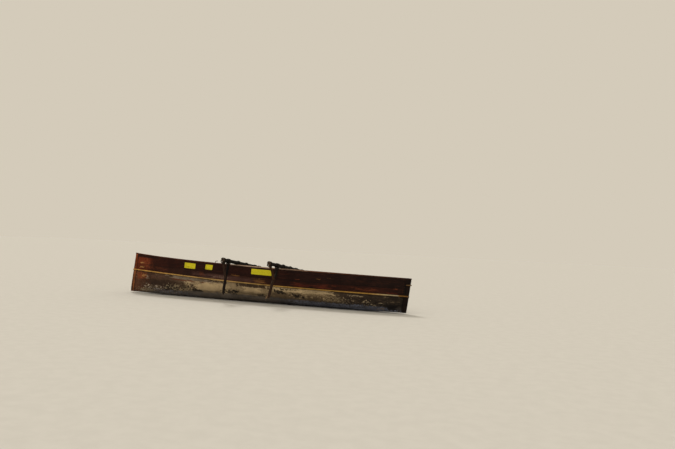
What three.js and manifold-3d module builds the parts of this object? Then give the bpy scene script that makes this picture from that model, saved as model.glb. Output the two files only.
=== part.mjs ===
// Outrigger canoe: a hollowed log raised with plank strakes, with two booms, forked struts and one float.
// Millimetres. It is built upright: +X to the stern, +Y to starboard, +Z up from the keel amidships.
// At the end it leans over until the log and the float both stand on the ground.
import * as THREE from 'three';
import { mergeVertices } from 'three/addons/utils/BufferGeometryUtils.js';
import Module from 'manifold-3d';

const wasm = await Module();
wasm.setup();

const PORT = -1;
const STARBOARD = 1;
const GAP = 0.3; // between pieces that touch
const FIT = 1.5; // between a piece fitted across the hull and the strakes beside it

// Hull
const LENGTH = 6472; // over the stem posts, at the rails
const HALF = LENGTH / 2;
const BEAM = 620; // over the strakes, amidships
const NOSE = 64; // breadth of a stem post at its nose
const PLAN_POWER = 3; // how far the full breadth runs towards the ends
const PLAN_ROUND = 0.9;
const FLARE = 0.93; // breadth at the top of the log over breadth at the rails
const RAKE = { bow: 1.9, stern: 5.2 }; // degrees; both stems lean aft with height
const KEEL_RISE = 15; // of the two ends of the keel
const KEEL_FLAT = 0.6; // of the length, where the keel is straight
const HEEL = THREE.MathUtils.degToRad(7); // lean to starboard, aground

// Heights above the keel at five places along the hull, as fractions of its half length
const PLACES = [-1, -0.5, 0, 0.5, 1];
const SHEER = [899, 783, 732, 707, 700]; // top of the rails
const JOINT = [515, 422, 359, 334, 335]; // top of the log, where the strakes stand

// Log
const LOG_ROUND = { middle: 2.4, end: 4 }; // roundness of the section: 2 is an ellipse
const LOG_LEDGE = 37; // thickness of its wall at the top
const LOG_FLOOR = 45;
const SECTION = { log: 9, hollow: 8 }; // steps from the keel to the top
const BAYS = { board: 36, hollow: 40 }; // steps along the hull
const HOLLOW = { end: 0.9, round: 0.12, least: 0.1 }; // of the half length, twice, and of the breadth

// Planking
const STRAKE = 20; // thickness
const SEAM = 0.42; // of the height, where the lower board meets the upper one
const BATTEN = { height: 32, thickness: 16 };
const RAIL = { width: 36, thickness: 24, proud: 6 };
const POST = { length: 90, tongue: 60, clear: 3, chamfer: 14, nose: 0.6 };
const DECK = { thickness: 20, bays: 3 };
const THWART = { width: 210, thickness: 28, places: { bow: -1700, middle: 36, stern: 1760 } };
const CLEAT = { width: 46, thickness: 17, places: [-890, 890] };
// Where two lengths of a board meet
const BUTTS = { lower: [-890, 890], upper: [-509, 543], rail: [154] };

// Booms and what ties them to the hull
const BOOM = { radius: 40, end: 35, sides: 14 };
const BOOM_PLACES = { fore: -509, aft: 543 };
const BOOM_REACH = { fore: 882, aft: 904 };
const BEAM_BOARD = { width: 78, height: 40 };
const ROPE = 9; // thickness of a lashing
const LASHING = { width: 72, place: 185, clear: 0.8 };
const FORK_TIE = { boom: 78, prong: 62, taper: 3, end: 2 };

// Forked struts
const PRONG = 24;
const STEM = { radius: 27, foot: 26 };
const TENON = { radius: 17, end: 16 };
const FORK_SIDES = 12;
// Points are [y outwards, z]. A prong starts in its boom; a stem runs from the crotch over a knee to its tip
const FORKS = [
  {
    name: 'port_fore', side: PORT, boom: 'fore', tenon: 30,
    outer: { top: 845, bend: [762, 579] },
    inner: { top: 624, bend: [629, 605] },
    stem: [[673, 414], [700, 215], [697, 82]],
  },
  {
    name: 'port_aft', side: PORT, boom: 'aft', tenon: 30, spur: true,
    outer: { top: 870, bend: [700, 605] },
    inner: { top: 485, bend: [504, 580] },
    stem: [[604, 458], [658, 375], [767, 70]],
  },
  {
    name: 'starboard_fore', side: STARBOARD, boom: 'fore', tenon: 62,
    outer: { top: 842, bend: [764, 590] },
    inner: { top: 612, bend: [622, 598] },
    stem: [[668, 420], [698, 300], [728, 150]],
  },
  {
    name: 'starboard_aft', side: STARBOARD, boom: 'aft', tenon: 62,
    outer: { top: 866, bend: [712, 612] },
    inner: { top: 500, bend: [518, 584] },
    stem: [[612, 470], [664, 372], [752, 150]],
  },
];
// Bare splinter beside the foot of the port aft strut; points are [x from the boom, y outwards, z]
const SPUR = { radius: 11, end: 9, top: [-20, 748, 146], tip: [-48, 784, 66] };

// Float
const FLOAT = { radius: 72, place: 740, sides: 14, upturn: 75 };
// x, radius over the full radius, rise over the upturn
const FLOAT_RINGS = [
  [-2120, 0.45, 1], [-2080, 0.62, 0.93], [-1900, 0.78, 0.6], [-1650, 0.9, 0.2], [-1350, 1, 0],
  [1050, 1, 0], [1450, 0.88, 0], [1700, 0.7, 0], [1740, 0.5, 0],
];

// Small pieces
const STERN_CLEAT = { length: 115, radius: 13, tip: 9, height: 558, off: 27, aft: 30, foot: 44, rise: 21 };
const HOOK = { radius: 7, sides: 8, place: -1003, rise: 38, reach: 56 };
const HOOK_STOPS = [[0, 0], [0, 0.45], [0.35, 0.85], [1, 1]]; // over the reach, over the rise

const WOOD = {
  log: new THREE.MeshStandardMaterial({ color: 0x84735a, roughness: 0.9 }),
  strake: new THREE.MeshStandardMaterial({ color: 0x4a2216, roughness: 0.7 }),
  batten: new THREE.MeshStandardMaterial({ color: 0x9c8148, roughness: 0.75 }),
  rail: new THREE.MeshStandardMaterial({ color: 0x5d3423, roughness: 0.75 }),
  stem: new THREE.MeshStandardMaterial({ color: 0x6e3a22, roughness: 0.8 }),
  inside: new THREE.MeshStandardMaterial({ color: 0x6d5a45, roughness: 0.9 }),
  pole: new THREE.MeshStandardMaterial({ color: 0x2e221c, roughness: 0.95 }),
  float: new THREE.MeshStandardMaterial({ color: 0x6f6455, roughness: 0.95 }),
  bare: new THREE.MeshStandardMaterial({ color: 0xa9835a, roughness: 0.85 }),
};
const CORDAGE = new THREE.MeshStandardMaterial({ color: 0x3a3128, roughness: 1 });
const IRON = new THREE.MeshStandardMaterial({ color: 0x2b211d, roughness: 0.8, metalness: 0.6 });

const lerp = THREE.MathUtils.lerp;
const canoe = new THREE.Group();

function add(name, geometry, material) {
  const mesh = new THREE.Mesh(geometry, material);
  mesh.name = name;
  canoe.add(mesh);
  return mesh;
}

// Solids

function volume(points, index) {
  let total = 0;
  for (let i = 0; i < index.length; i += 3) {
    const [a, b, c] = [points[index[i]], points[index[i + 1]], points[index[i + 2]]];
    total += a.dot(b.clone().cross(c));
  }
  return total;
}

// A closed body through rings of as many points each, with a fan over each end
function loft(rings) {
  const count = rings[0].length;
  const points = rings.flat();
  const index = [];
  for (let r = 0; r + 1 < rings.length; r += 1) {
    for (let i = 0; i < count; i += 1) {
      const [a, b] = [r * count + i, r * count + (i + 1) % count];
      index.push(a, b, b + count, a, b + count, a + count);
    }
  }
  for (const [first, flip] of [[0, true], [(rings.length - 1) * count, false]]) {
    const middle = new THREE.Vector3();
    for (let i = 0; i < count; i += 1) middle.addScaledVector(points[first + i], 1 / count);
    const centre = points.push(middle) - 1;
    for (let i = 0; i < count; i += 1) {
      const [a, b] = [first + i, first + (i + 1) % count];
      index.push(...(flip ? [centre, b, a] : [centre, a, b]));
    }
  }
  if (volume(points, index) < 0) index.reverse();
  const geometry = new THREE.BufferGeometry().setFromPoints(points);
  geometry.setIndex(index);
  return geometry;
}

function solid(geometry) {
  const bare = geometry.clone();
  bare.deleteAttribute('normal');
  bare.deleteAttribute('uv');
  const merged = mergeVertices(bare, 1e-3);
  return new wasm.Manifold(new wasm.Mesh({
    numProp: 3,
    vertProperties: merged.attributes.position.array,
    triVerts: Uint32Array.from(merged.index.array),
  }));
}

function geometryOf(body) {
  const mesh = body.getMesh();
  const geometry = new THREE.BufferGeometry();
  geometry.setAttribute('position', new THREE.BufferAttribute(mesh.vertProperties, 3));
  geometry.setIndex(new THREE.BufferAttribute(mesh.triVerts, 1));
  return geometry;
}

// A tapering round pole along points that all lie square to the direction across
function pole(points, radii, sides, across, grow = 0) {
  return loft(points.map((point, i) => {
    const tangent = points[Math.min(i + 1, points.length - 1)].clone().sub(points[Math.max(i - 1, 0)]);
    const up = tangent.normalize().clone().cross(across);
    return Array.from({ length: sides }, (_, k) => {
      const angle = -Math.PI / 2 + (2 * k + 1) * Math.PI / sides;
      return point.clone()
        .addScaledVector(across, (radii[i] + grow) * Math.cos(angle))
        .addScaledVector(up, (radii[i] + grow) * Math.sin(angle));
    });
  }));
}

// Hull lines; t runs from -1 at the bow to 1 at the stern

function through(heights) {
  return (t) => PLACES.reduce((sum, a, i) => {
    const weight = PLACES.reduce((product, b, j) => (i === j ? product : product * (t - b) / (a - b)), 1);
    return sum + heights[i] * weight;
  }, 0);
}
const railTop = through(SHEER);
const logTop = through(JOINT);
const railUnder = (t) => railTop(t) - RAIL.thickness;
const keel = (t) => KEEL_RISE * (Math.max(0, Math.abs(t) - KEEL_FLAT) / (1 - KEEL_FLAT)) ** 2;
const plan = (t) => Math.max(0, 1 - Math.abs(t) ** PLAN_POWER) ** PLAN_ROUND;
const railBreadth = (t) => lerp(NOSE / 2, BEAM / 2, plan(t));
const logBreadth = (t) => lerp(NOSE / 2, railBreadth(t), FLARE);

// y of the strakes' outer face at height z, and of their inner face
function wall(t, z) {
  return lerp(logBreadth(t), railBreadth(t), (z - logTop(t)) / (railUnder(t) - logTop(t)));
}
const inside = (t, z) => wall(t, z) - STRAKE;

// The lean of the stems fades out towards the middle
function place(t, y, z) {
  const [rake, top] = t < 0 ? [RAKE.bow, SHEER[0]] : [RAKE.stern, SHEER.at(-1)];
  const lean = Math.tan(THREE.MathUtils.degToRad(rake)) * t ** 8;
  return new THREE.Vector3(HALF * t + lean * (z - top), y, z);
}
const at = (x) => x / HALF;

function stations(from, to, steps) {
  return Array.from({ length: steps + 1 }, (_, i) => lerp(from, to, i / steps));
}

// Half of a rounded trough from its bottom to its top edge
function trough(breadth, bottom, top, round, steps) {
  return Array.from({ length: steps + 1 }, (_, i) => {
    const angle = Math.PI / 2 * i / steps;
    return [breadth * Math.sin(angle) ** (2 / round), lerp(top, bottom, Math.cos(angle) ** (2 / round))];
  });
}

function mirrored(half) {
  return [...half.map(([y, z]) => [-y, z]).reverse(), ...half.slice(1)];
}

function ring(t, outline) {
  return outline.map(([y, z]) => place(t, y, z));
}

function logHalf(t) {
  const round = lerp(LOG_ROUND.middle, LOG_ROUND.end, t ** 4);
  return trough(logBreadth(t), keel(t), logTop(t), round, SECTION.log);
}

// Every long piece bends at the same stations, so that neighbours stay a gap apart
const POST_FACE = 1 - POST.length / HALF;
const POST_STATIONS = [POST_FACE, (POST_FACE + 1) / 2, 1 - POST.chamfer / HALF, 1];
const BOARD_STATIONS = stations(-POST_FACE + GAP / HALF, POST_FACE - GAP / HALF, BAYS.board);
const END_STATIONS = POST_STATIONS.slice(1);
const FULL_STATIONS = [...END_STATIONS.map((t) => -t).reverse(), ...BOARD_STATIONS, ...END_STATIONS];

function buildLog() {
  const outer = loft(BOARD_STATIONS.map((t) => ring(t, mirrored(logHalf(t)))));
  const hollow = loft(stations(-HOLLOW.end, HOLLOW.end, BAYS.hollow).map((t) => {
    const toEnd = Math.max(0, (Math.abs(t) - HOLLOW.end + HOLLOW.round) / HOLLOW.round);
    const open = lerp(HOLLOW.least, 1, Math.sqrt(Math.max(0, 1 - toEnd ** 2)));
    const breadth = (logBreadth(t) - LOG_LEDGE) * open;
    const bottom = lerp(logTop(t) - LOG_FLOOR, LOG_FLOOR, open);
    const half = trough(breadth, bottom, logTop(t), LOG_ROUND.middle, SECTION.hollow);
    return ring(t, mirrored([...half, [breadth, logTop(t) + LOG_FLOOR]]));
  }));
  return geometryOf(solid(outer).subtract(solid(hollow)));
}

// Piece along a side of the hull, from a section that gives its corners at t
function sidePiece(side, places, section) {
  return loft(places.map((t) => section(t).map(([y, z]) => place(t, side * y, z))));
}

// The stations of each length of a board that is butted at the given places
function lengths(places, butts) {
  const slack = GAP / 2 / HALF;
  const ends = [places[0] - slack, ...butts.map(at), places.at(-1) + slack];
  return ends.slice(1).map((end, i) => {
    const [from, to] = [ends[i] + slack, end - slack];
    return [from, ...places.filter((t) => t > from + slack && t < to - slack), to];
  });
}

function board(t, low, high) {
  return [[wall(t, low), low], [wall(t, high), high], [inside(t, high), high], [inside(t, low), low]];
}

function seam(t) {
  return lerp(logTop(t), railUnder(t), SEAM);
}

function battenSection(t) {
  const [low, high] = [logTop(t) - BATTEN.height / 2, logTop(t) + BATTEN.height / 2];
  const [foot, head] = [logBreadth(t) + GAP, wall(t, high) + GAP];
  return [[foot, low], [foot + BATTEN.thickness, low], [head + BATTEN.thickness, high], [head, high]];
}

function railSection(t) {
  const outer = railBreadth(t) + RAIL.proud;
  const inner = Math.max(outer - RAIL.width, GAP / 2);
  return [[inner, railUnder(t)], [outer, railUnder(t)], [outer, railTop(t)], [inner, railTop(t)]];
}

// Stem post: the hull's whole section, solid, with a tongue between the strakes
function buildPost(end) {
  const post = loft(POST_STATIONS.map((t) => {
    const half = logHalf(end * t);
    half.push([railBreadth(end * t), railUnder(end * t) - GAP]);
    const width = t === 1 ? POST.nose : 1;
    return ring(end * t, mirrored(half).map(([y, z]) => [y * width, z]));
  }));
  const tongue = loft(stations(POST_FACE - POST.tongue / HALF, (POST_FACE + 1) / 2, 3).map((t) => {
    const [low, high] = [logTop(end * t) + GAP, railUnder(end * t) - DECK.thickness - 2 * GAP];
    const [foot, head] = [inside(end * t, low) - POST.clear, inside(end * t, high) - POST.clear];
    return ring(end * t, [[-foot, low], [foot, low], [head, high], [-head, high]]);
  }));
  return geometryOf(solid(post).add(solid(tongue)));
}

function buildDeck(end) {
  return loft(BOARD_STATIONS.slice(0, DECK.bays + 1).map((t) => {
    const high = railUnder(-end * t) - GAP;
    const low = high - DECK.thickness;
    const half = inside(-end * t, low) - GAP;
    return ring(-end * t, [[-half, low], [half, low], [half, high], [-half, high]]);
  }));
}

function buildThwart(x) {
  return loft([at(x - THWART.width / 2), at(x + THWART.width / 2)].map((t) => {
    const low = logTop(t) + GAP;
    const half = inside(t, low) - FIT;
    const high = low + THWART.thickness;
    return ring(t, [[-half, low], [half, low], [half, high], [-half, high]]);
  }));
}

// Upright cleat on the log's ledge that ties the two boards of a side together
function buildCleat(side, x, top) {
  return loft([at(x - CLEAT.width / 2), at(x + CLEAT.width / 2)].map((t) => {
    const [low, high] = [logTop(t) + GAP, Math.min(top, railUnder(t) - GAP)];
    const [foot, head] = [inside(t, low) - FIT, inside(t, high) - FIT];
    const inner = [[head - CLEAT.thickness, high], [foot - CLEAT.thickness, low]];
    return [...inner, [foot, low], [head, high]].map(([y, z]) => place(t, side * y, z));
  }));
}

// Booms

const acrossHull = new THREE.Vector3(1, 0, 0);
const boomFlat = BOOM.radius * Math.cos(Math.PI / BOOM.sides);
const boomHeight = (x) => railTop(at(x)) + boomFlat + GAP;
const beamTop = (x) => {
  const edges = [at(x - BEAM_BOARD.width / 2), at(x + BEAM_BOARD.width / 2)];
  return Math.min(...edges.map(railUnder)) - GAP;
};
// y over the reach, radius, shift along the hull, shift up
const BOOM_RINGS = [
  [-1, BOOM.end, 5, -3], [-0.68, 37, -4, 1], [-0.4, BOOM.radius, 0, 0], [0.4, BOOM.radius, 0, 0],
  [0.66, 38, 4, 1], [1, BOOM.end, -3, -4],
];

function buildBoom(name, grow) {
  const x = BOOM_PLACES[name];
  const points = BOOM_RINGS.map(([part, , along, up]) => {
    return new THREE.Vector3(x + along, part * (BOOM_REACH[name] + grow), boomHeight(x) + up);
  });
  return pole(points, BOOM_RINGS.map((row) => row[1]), BOOM.sides, acrossHull, grow);
}

// Board under a boom, inside the hull, that the boom is lashed to
function buildBeam(x) {
  const top = beamTop(x);
  const edges = [at(x - BEAM_BOARD.width / 2), at(x + BEAM_BOARD.width / 2)];
  const half = Math.min(...edges.map((t) => inside(t, top - BEAM_BOARD.height))) - FIT;
  const board = new THREE.BoxGeometry(BEAM_BOARD.width, 2 * half, BEAM_BOARD.height);
  return board.translate(x, 0, top - BEAM_BOARD.height / 2);
}

// Rope band round a boom and the board under it: a flat-bottomed loop, drawn across the boom
function loop(radius, depth) {
  const shape = new THREE.Shape();
  shape.moveTo(radius, -depth);
  shape.lineTo(radius, 0);
  shape.absarc(0, 0, radius, 0, Math.PI, false);
  shape.lineTo(-radius, -depth);
  shape.closePath();
  return shape;
}

function buildLashing(x, y) {
  const radius = BOOM.radius + LASHING.clear;
  const depth = boomHeight(x) - beamTop(x) + BEAM_BOARD.height + GAP;
  const shape = loop(radius + ROPE, depth + ROPE);
  shape.holes.push(loop(radius, depth));
  const form = { depth: LASHING.width, bevelEnabled: false, curveSegments: 8 };
  const band = new THREE.ExtrudeGeometry(shape, form);
  return band.rotateX(Math.PI / 2).translate(x, y + LASHING.width / 2, boomHeight(x));
}

// Forked struts

function branch(side, x, stops, radii, grow) {
  const points = stops.map(([y, z]) => new THREE.Vector3(x, side * y, z));
  return solid(pole(points, radii, FORK_SIDES, acrossHull, grow));
}

// The point at a distance from one point on the way to another
function toward(from, to, distance) {
  const part = distance / Math.hypot(to[0] - from[0], to[1] - from[1]);
  return [lerp(from[0], to[0], part), lerp(from[1], to[1], part)];
}

function buildFork(fork, grow) {
  const x = BOOM_PLACES[fork.boom];
  const [crotch, knee, tip] = fork.stem;
  const runOut = toward(crotch, knee, STEM.radius);
  const prongs = [fork.outer, fork.inner].map(({ top, bend }) => {
    return branch(fork.side, x, [[top, boomHeight(x)], bend, crotch, runOut], Array(4).fill(PRONG), grow);
  });
  const shoulder = toward(tip, knee, fork.tenon);
  const line = [toward(crotch, knee, -STEM.radius), crotch, knee, shoulder];
  const stem = branch(fork.side, x, line, [PRONG, STEM.radius, STEM.radius, STEM.foot], grow);
  const root = toward(shoulder, knee, STEM.radius);
  const tenon = branch(fork.side, x, [root, toward(tip, knee, -grow)], [TENON.radius, TENON.end], grow);
  return prongs[0].add(prongs[1]).add(stem).add(tenon);
}

function buildSpur(side, x) {
  const [top, tip] = [SPUR.top, SPUR.tip].map(([along, y, z]) => new THREE.Vector3(x + along, side * y, z));
  const across = tip.clone().sub(top).cross(new THREE.Vector3(0, 1, 0)).normalize();
  return solid(pole([top, tip], [SPUR.radius, SPUR.end], FORK_SIDES, across));
}

// Rope round a boom and the top of a prong
function buildForkTie(fork, { top, bend }) {
  const x = BOOM_PLACES[fork.boom];
  const high = boomHeight(x);
  const low = toward([top, high], bend, BOOM.radius + FORK_TIE.prong);
  const from = Math.max(top - FORK_TIE.boom / 2, 0);
  const to = Math.min(top + FORK_TIE.boom / 2, BOOM_REACH[fork.boom] - FORK_TIE.end);
  const round = [from, to].map((y) => new THREE.Vector3(x, fork.side * y, high));
  const outside = BOOM.radius + ROPE;
  const sleeve = solid(pole(round, [outside, outside - FORK_TIE.taper], BOOM.sides, acrossHull));
  const cuff = branch(fork.side, x, [[top, high], low], [PRONG + ROPE, PRONG + ROPE], 0);
  return sleeve.add(cuff);
}

// Build

const log = buildLog();
add('dugout', log, WOOD.log);

for (const [name, side] of [['port', PORT], ['starboard', STARBOARD]]) {
  const lower = (t) => board(t, logTop(t) + GAP, seam(t));
  const upper = (t) => board(t, seam(t) + GAP, railUnder(t) - GAP);
  lengths(BOARD_STATIONS, BUTTS.lower).forEach((places, i) => {
    add(`${name}_lower_strake_${i + 1}`, sidePiece(side, places, lower), WOOD.strake);
  });
  lengths(BOARD_STATIONS, BUTTS.upper).forEach((places, i) => {
    add(`${name}_upper_strake_${i + 1}`, sidePiece(side, places, upper), WOOD.strake);
  });
  add(`${name}_batten`, sidePiece(side, FULL_STATIONS, battenSection), WOOD.batten);
  CLEAT.places.forEach((x, i) => add(`${name}_cleat_${i + 1}`, buildCleat(side, x, Infinity), WOOD.inside));
  for (const [boom, x] of Object.entries(BOOM_PLACES)) {
    const top = beamTop(x) - BEAM_BOARD.height - GAP;
    add(`${name}_${boom}_boom_cleat`, buildCleat(side, x, top), WOOD.inside);
  }
}

// Hook of bent rod, driven into the port rail
const hookFoot = new THREE.Vector3(HOOK.place, PORT * (railBreadth(at(HOOK.place)) - RAIL.width / 4), 0);
hookFoot.z = railTop(at(HOOK.place));
function buildHook(grow) {
  const points = HOOK_STOPS.map(([along, up]) => {
    return hookFoot.clone().add(new THREE.Vector3(along * HOOK.reach, 0, up * HOOK.rise));
  });
  points[0].z = hookFoot.z - RAIL.thickness / 2 - grow;
  return pole(points, Array(points.length).fill(HOOK.radius), HOOK.sides, new THREE.Vector3(0, 1, 0), grow);
}
add('rail_hook', buildHook(0), IRON);
const [railFore, railAft] = lengths(FULL_STATIONS, BUTTS.rail);
const hookedRail = solid(sidePiece(PORT, railFore, railSection)).subtract(solid(buildHook(GAP)));
add('port_rail_fore', geometryOf(hookedRail), WOOD.rail);
add('port_rail_aft', sidePiece(PORT, railAft, railSection), WOOD.rail);
add('starboard_rail_fore', sidePiece(STARBOARD, railFore, railSection), WOOD.rail);
add('starboard_rail_aft', sidePiece(STARBOARD, railAft, railSection), WOOD.rail);

const posts = { bow: buildPost(-1), stern: buildPost(1) };
add('bow_post', posts.bow, WOOD.stem);
add('bow_deck', buildDeck(-1), WOOD.inside);
add('stern_post', posts.stern, WOOD.stem);
add('stern_deck', buildDeck(1), WOOD.inside);
for (const [name, x] of Object.entries(THWART.places)) add(`${name}_thwart`, buildThwart(x), WOOD.inside);

for (const [name, x] of Object.entries(BOOM_PLACES)) {
  add(`${name}_boom`, buildBoom(name, 0), WOOD.pole);
  add(`${name}_beam`, buildBeam(x), WOOD.inside);
  add(`${name}_boom_port_lashing`, buildLashing(x, PORT * LASHING.place), CORDAGE);
  add(`${name}_boom_starboard_lashing`, buildLashing(x, STARBOARD * LASHING.place), CORDAGE);
}

// The float lies on the same ground as the log once the canoe leans over
const lean = new THREE.Matrix4().makeRotationX(-HEEL);
const leaning = log.clone().applyMatrix4(lean);
leaning.computeBoundingBox();
const ground = leaning.boundingBox.min.z;
const floatFlat = FLOAT.radius * Math.cos(Math.PI / FLOAT.sides);
const floatHeight = (ground + floatFlat + FLOAT.place * Math.sin(HEEL)) / Math.cos(HEEL);
const levelAcross = new THREE.Vector3(0, Math.cos(HEEL), Math.sin(HEEL));
const floatUp = new THREE.Vector3(0, -Math.sin(HEEL), Math.cos(HEEL));
const floatPoints = FLOAT_RINGS.map(([x, , rise]) => {
  return new THREE.Vector3(x, FLOAT.place, floatHeight).addScaledVector(floatUp, rise * FLOAT.upturn);
});
const floatRadii = FLOAT_RINGS.map(([, part]) => part * FLOAT.radius);
let float = solid(pole(floatPoints, floatRadii, FLOAT.sides, levelAcross));

for (const fork of FORKS) {
  const boom = solid(buildBoom(fork.boom, GAP));
  const grown = buildFork(fork, GAP);
  let strut = buildFork(fork, 0).subtract(boom);
  if (fork.spur) strut = strut.add(buildSpur(fork.side, BOOM_PLACES[fork.boom]));
  add(`${fork.name}_fork`, geometryOf(strut), WOOD.pole);
  for (const prong of ['outer', 'inner']) {
    const tie = buildForkTie(fork, fork[prong]).subtract(boom).subtract(grown);
    add(`${fork.name}_${prong}_tie`, geometryOf(tie), CORDAGE);
  }
  if (fork.side === STARBOARD) float = float.subtract(grown);
}
add('float', geometryOf(float), WOOD.float);

// Small horned cleat on a foot, on the port face of the stern post
const cleatMiddle = new THREE.Vector3(HALF + STERN_CLEAT.aft - STERN_CLEAT.length / 2, 0, STERN_CLEAT.height);
const cleatOff = railBreadth(at(cleatMiddle.x)) + STERN_CLEAT.off;
const horns = [-1, -0.5, 0.5, 1].map((part) => {
  return cleatMiddle.clone().add(new THREE.Vector3(part * STERN_CLEAT.length / 2, -cleatOff, 0));
});
const hornRadii = [STERN_CLEAT.tip, STERN_CLEAT.radius, STERN_CLEAT.radius, STERN_CLEAT.tip];
const horn = pole(horns, hornRadii, 10, new THREE.Vector3(0, 1, 0));
const cleatFoot = new THREE.BoxGeometry(STERN_CLEAT.foot, cleatOff, STERN_CLEAT.rise)
  .translate(cleatMiddle.x - STERN_CLEAT.foot / 2, -cleatOff / 2, cleatMiddle.z);
const beside = solid(posts.stern.clone().translate(0, -GAP, 0));
add('stern_cleat', geometryOf(solid(horn).add(solid(cleatFoot)).subtract(beside)), WOOD.bare);

// Lean it over and set its lowest point on the ground, centred on the origin
canoe.rotation.x = -HEEL;
canoe.updateMatrixWorld(true);
const box = new THREE.Box3().setFromObject(canoe, true);
const middle = box.getCenter(new THREE.Vector3());
canoe.position.set(-middle.x, -middle.y, -box.min.z);

export default canoe;
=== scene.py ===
"""Outrigger canoe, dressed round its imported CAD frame.

Metres. The hull's lines are worked out upright: X to the stern, Y to starboard, Z up from the keel. settle()
then leans every point over to the frame, where the canoe lies on its log and its float.
"""
import math
from types import SimpleNamespace

import bpy
import numpy as np
from mathutils import Matrix, Vector, noise


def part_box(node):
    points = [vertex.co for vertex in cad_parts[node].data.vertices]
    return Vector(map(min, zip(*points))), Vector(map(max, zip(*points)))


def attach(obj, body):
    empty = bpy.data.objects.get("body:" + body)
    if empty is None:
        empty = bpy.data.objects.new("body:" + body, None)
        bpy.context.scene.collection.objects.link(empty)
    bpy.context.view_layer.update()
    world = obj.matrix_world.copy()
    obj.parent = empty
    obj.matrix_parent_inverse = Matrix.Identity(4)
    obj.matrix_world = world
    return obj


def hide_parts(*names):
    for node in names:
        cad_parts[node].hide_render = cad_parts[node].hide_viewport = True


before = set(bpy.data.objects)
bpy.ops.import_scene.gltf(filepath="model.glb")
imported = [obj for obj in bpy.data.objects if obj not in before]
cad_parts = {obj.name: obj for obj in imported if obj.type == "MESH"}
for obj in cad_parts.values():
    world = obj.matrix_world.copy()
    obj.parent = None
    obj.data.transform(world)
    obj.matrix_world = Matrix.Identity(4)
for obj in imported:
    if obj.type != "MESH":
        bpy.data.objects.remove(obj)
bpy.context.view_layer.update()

MM = 0.001
GAP = 0.3 * MM  # between pieces that meet
FIT = 1.5 * MM  # between the planks and what stands inside them
SIDES = {"port": -1, "starboard": 1}
ENDS = {"bow": -1, "stern": 1}
PRONGS = ("outer", "inner")
LENGTHWAYS, CROSSWAYS = (1.0, 0.0, 0.0), (0.0, 1.0, 0.0)

# The hull's lines, as in the CAD source
HALF = 3.236
BEAM = 0.62
NOSE = 0.064
PLAN = {"power": 3, "round": 0.9}
FLARE = 0.93
RAKE = {"bow": math.radians(1.9), "stern": math.radians(5.2)}
KEEL = {"rise": 0.015, "flat": 0.6}
HEEL = math.radians(7)
SHEER = (0.899, 0.783, 0.732, 0.707, 0.7)
JOINT = (0.515, 0.422, 0.359, 0.334, 0.335)
LOG_ROUND = {"middle": 2.4, "end": 4}
LOG_LEDGE = 0.037
LOG_FLOOR = 0.045
HOLLOW = {"end": 0.9, "round": 0.12, "least": 0.1, "rim": 0.007}
STRAKE = 0.02
SEAM = 0.42
BATTEN = {"height": 0.032, "thickness": 0.016}
RAIL = {"width": 0.036, "thickness": 0.024, "proud": 0.006}
POST = {"length": 0.09, "tongue": 0.06, "clear": 0.003, "chamfer": 0.014, "nose": 0.6}
DECK = {"thickness": 0.02, "length": 0.524}
THWART = {"width": 0.21, "thickness": 0.028, "places": {"bow": -1.7, "middle": 0.036, "stern": 1.76}}
CLEAT = {"width": 0.046, "thickness": 0.017, "places": (-0.89, 0.89)}
BUTTS = {"lower": (-0.89, 0.89), "upper": (-0.509, 0.543), "rail": (0.154,)}

# Booms and what holds them. The CAD source's poles have 14 faces, and these lie inside them
FLATS = math.cos(math.pi / 14)
BOOM = 0.04
BOOM_PLACES = {"fore": -0.509, "aft": 0.543}
BOOM_REACH = {"fore": 0.882, "aft": 0.904}
# A boom's line: share of its reach, then in millimetres its radius and how far it bows aft and up
BOOM_LINE = ((-1, 35, 5, -3), (-0.68, 37, -4, 1), (-0.4, 39, 0, 0),
             (0.4, 39, 0, 0), (0.66, 38, 4, 1), (1, 35, -3, -4))
BOOM_KNOTS = (-0.63, -0.31, 0.05, 0.4, 0.71)
BEAM_BOARD = {"width": 0.078, "thickness": 0.04}
LASHING = {"width": 0.072, "place": 0.185}
ROPE = 0.009
PRONG = 0.024
STEM = {"radius": 0.027, "foot": 0.026}
TENON = {"radius": 0.017, "end": 0.016}
# Forked struts: y of each prong's top and [y, z] of its bend, outer prong first; then [y, z] of the crotch,
# the knee and the tip; then the tenon's length
FORKS = {
    ("port", "fore"): ((0.848, (0.762, 0.579)), (0.624, (0.629, 0.605)),
                       ((0.673, 0.414), (0.7, 0.215), (0.697, 0.082)), 0.03),
    ("port", "aft"): ((0.87, (0.7, 0.605)), (0.485, (0.504, 0.58)),
                      ((0.604, 0.458), (0.658, 0.375), (0.767, 0.07)), 0.03),
    ("starboard", "fore"): ((0.842, (0.764, 0.59)), (0.612, (0.622, 0.598)),
                            ((0.668, 0.42), (0.698, 0.3), (0.728, 0.15)), 0.062),
    ("starboard", "aft"): ((0.866, (0.712, 0.612)), (0.5, (0.518, 0.584)),
                           ((0.612, 0.47), (0.664, 0.372), (0.752, 0.15)), 0.062),
}
SPUR = {"radius": 0.011, "end": 0.009, "top": (-0.02, 0.748, 0.146), "tip": (-0.048, 0.784, 0.066)}

# The float and the small things
FLOAT = {"radius": 0.072, "place": 0.74, "upturn": 0.075}
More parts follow.
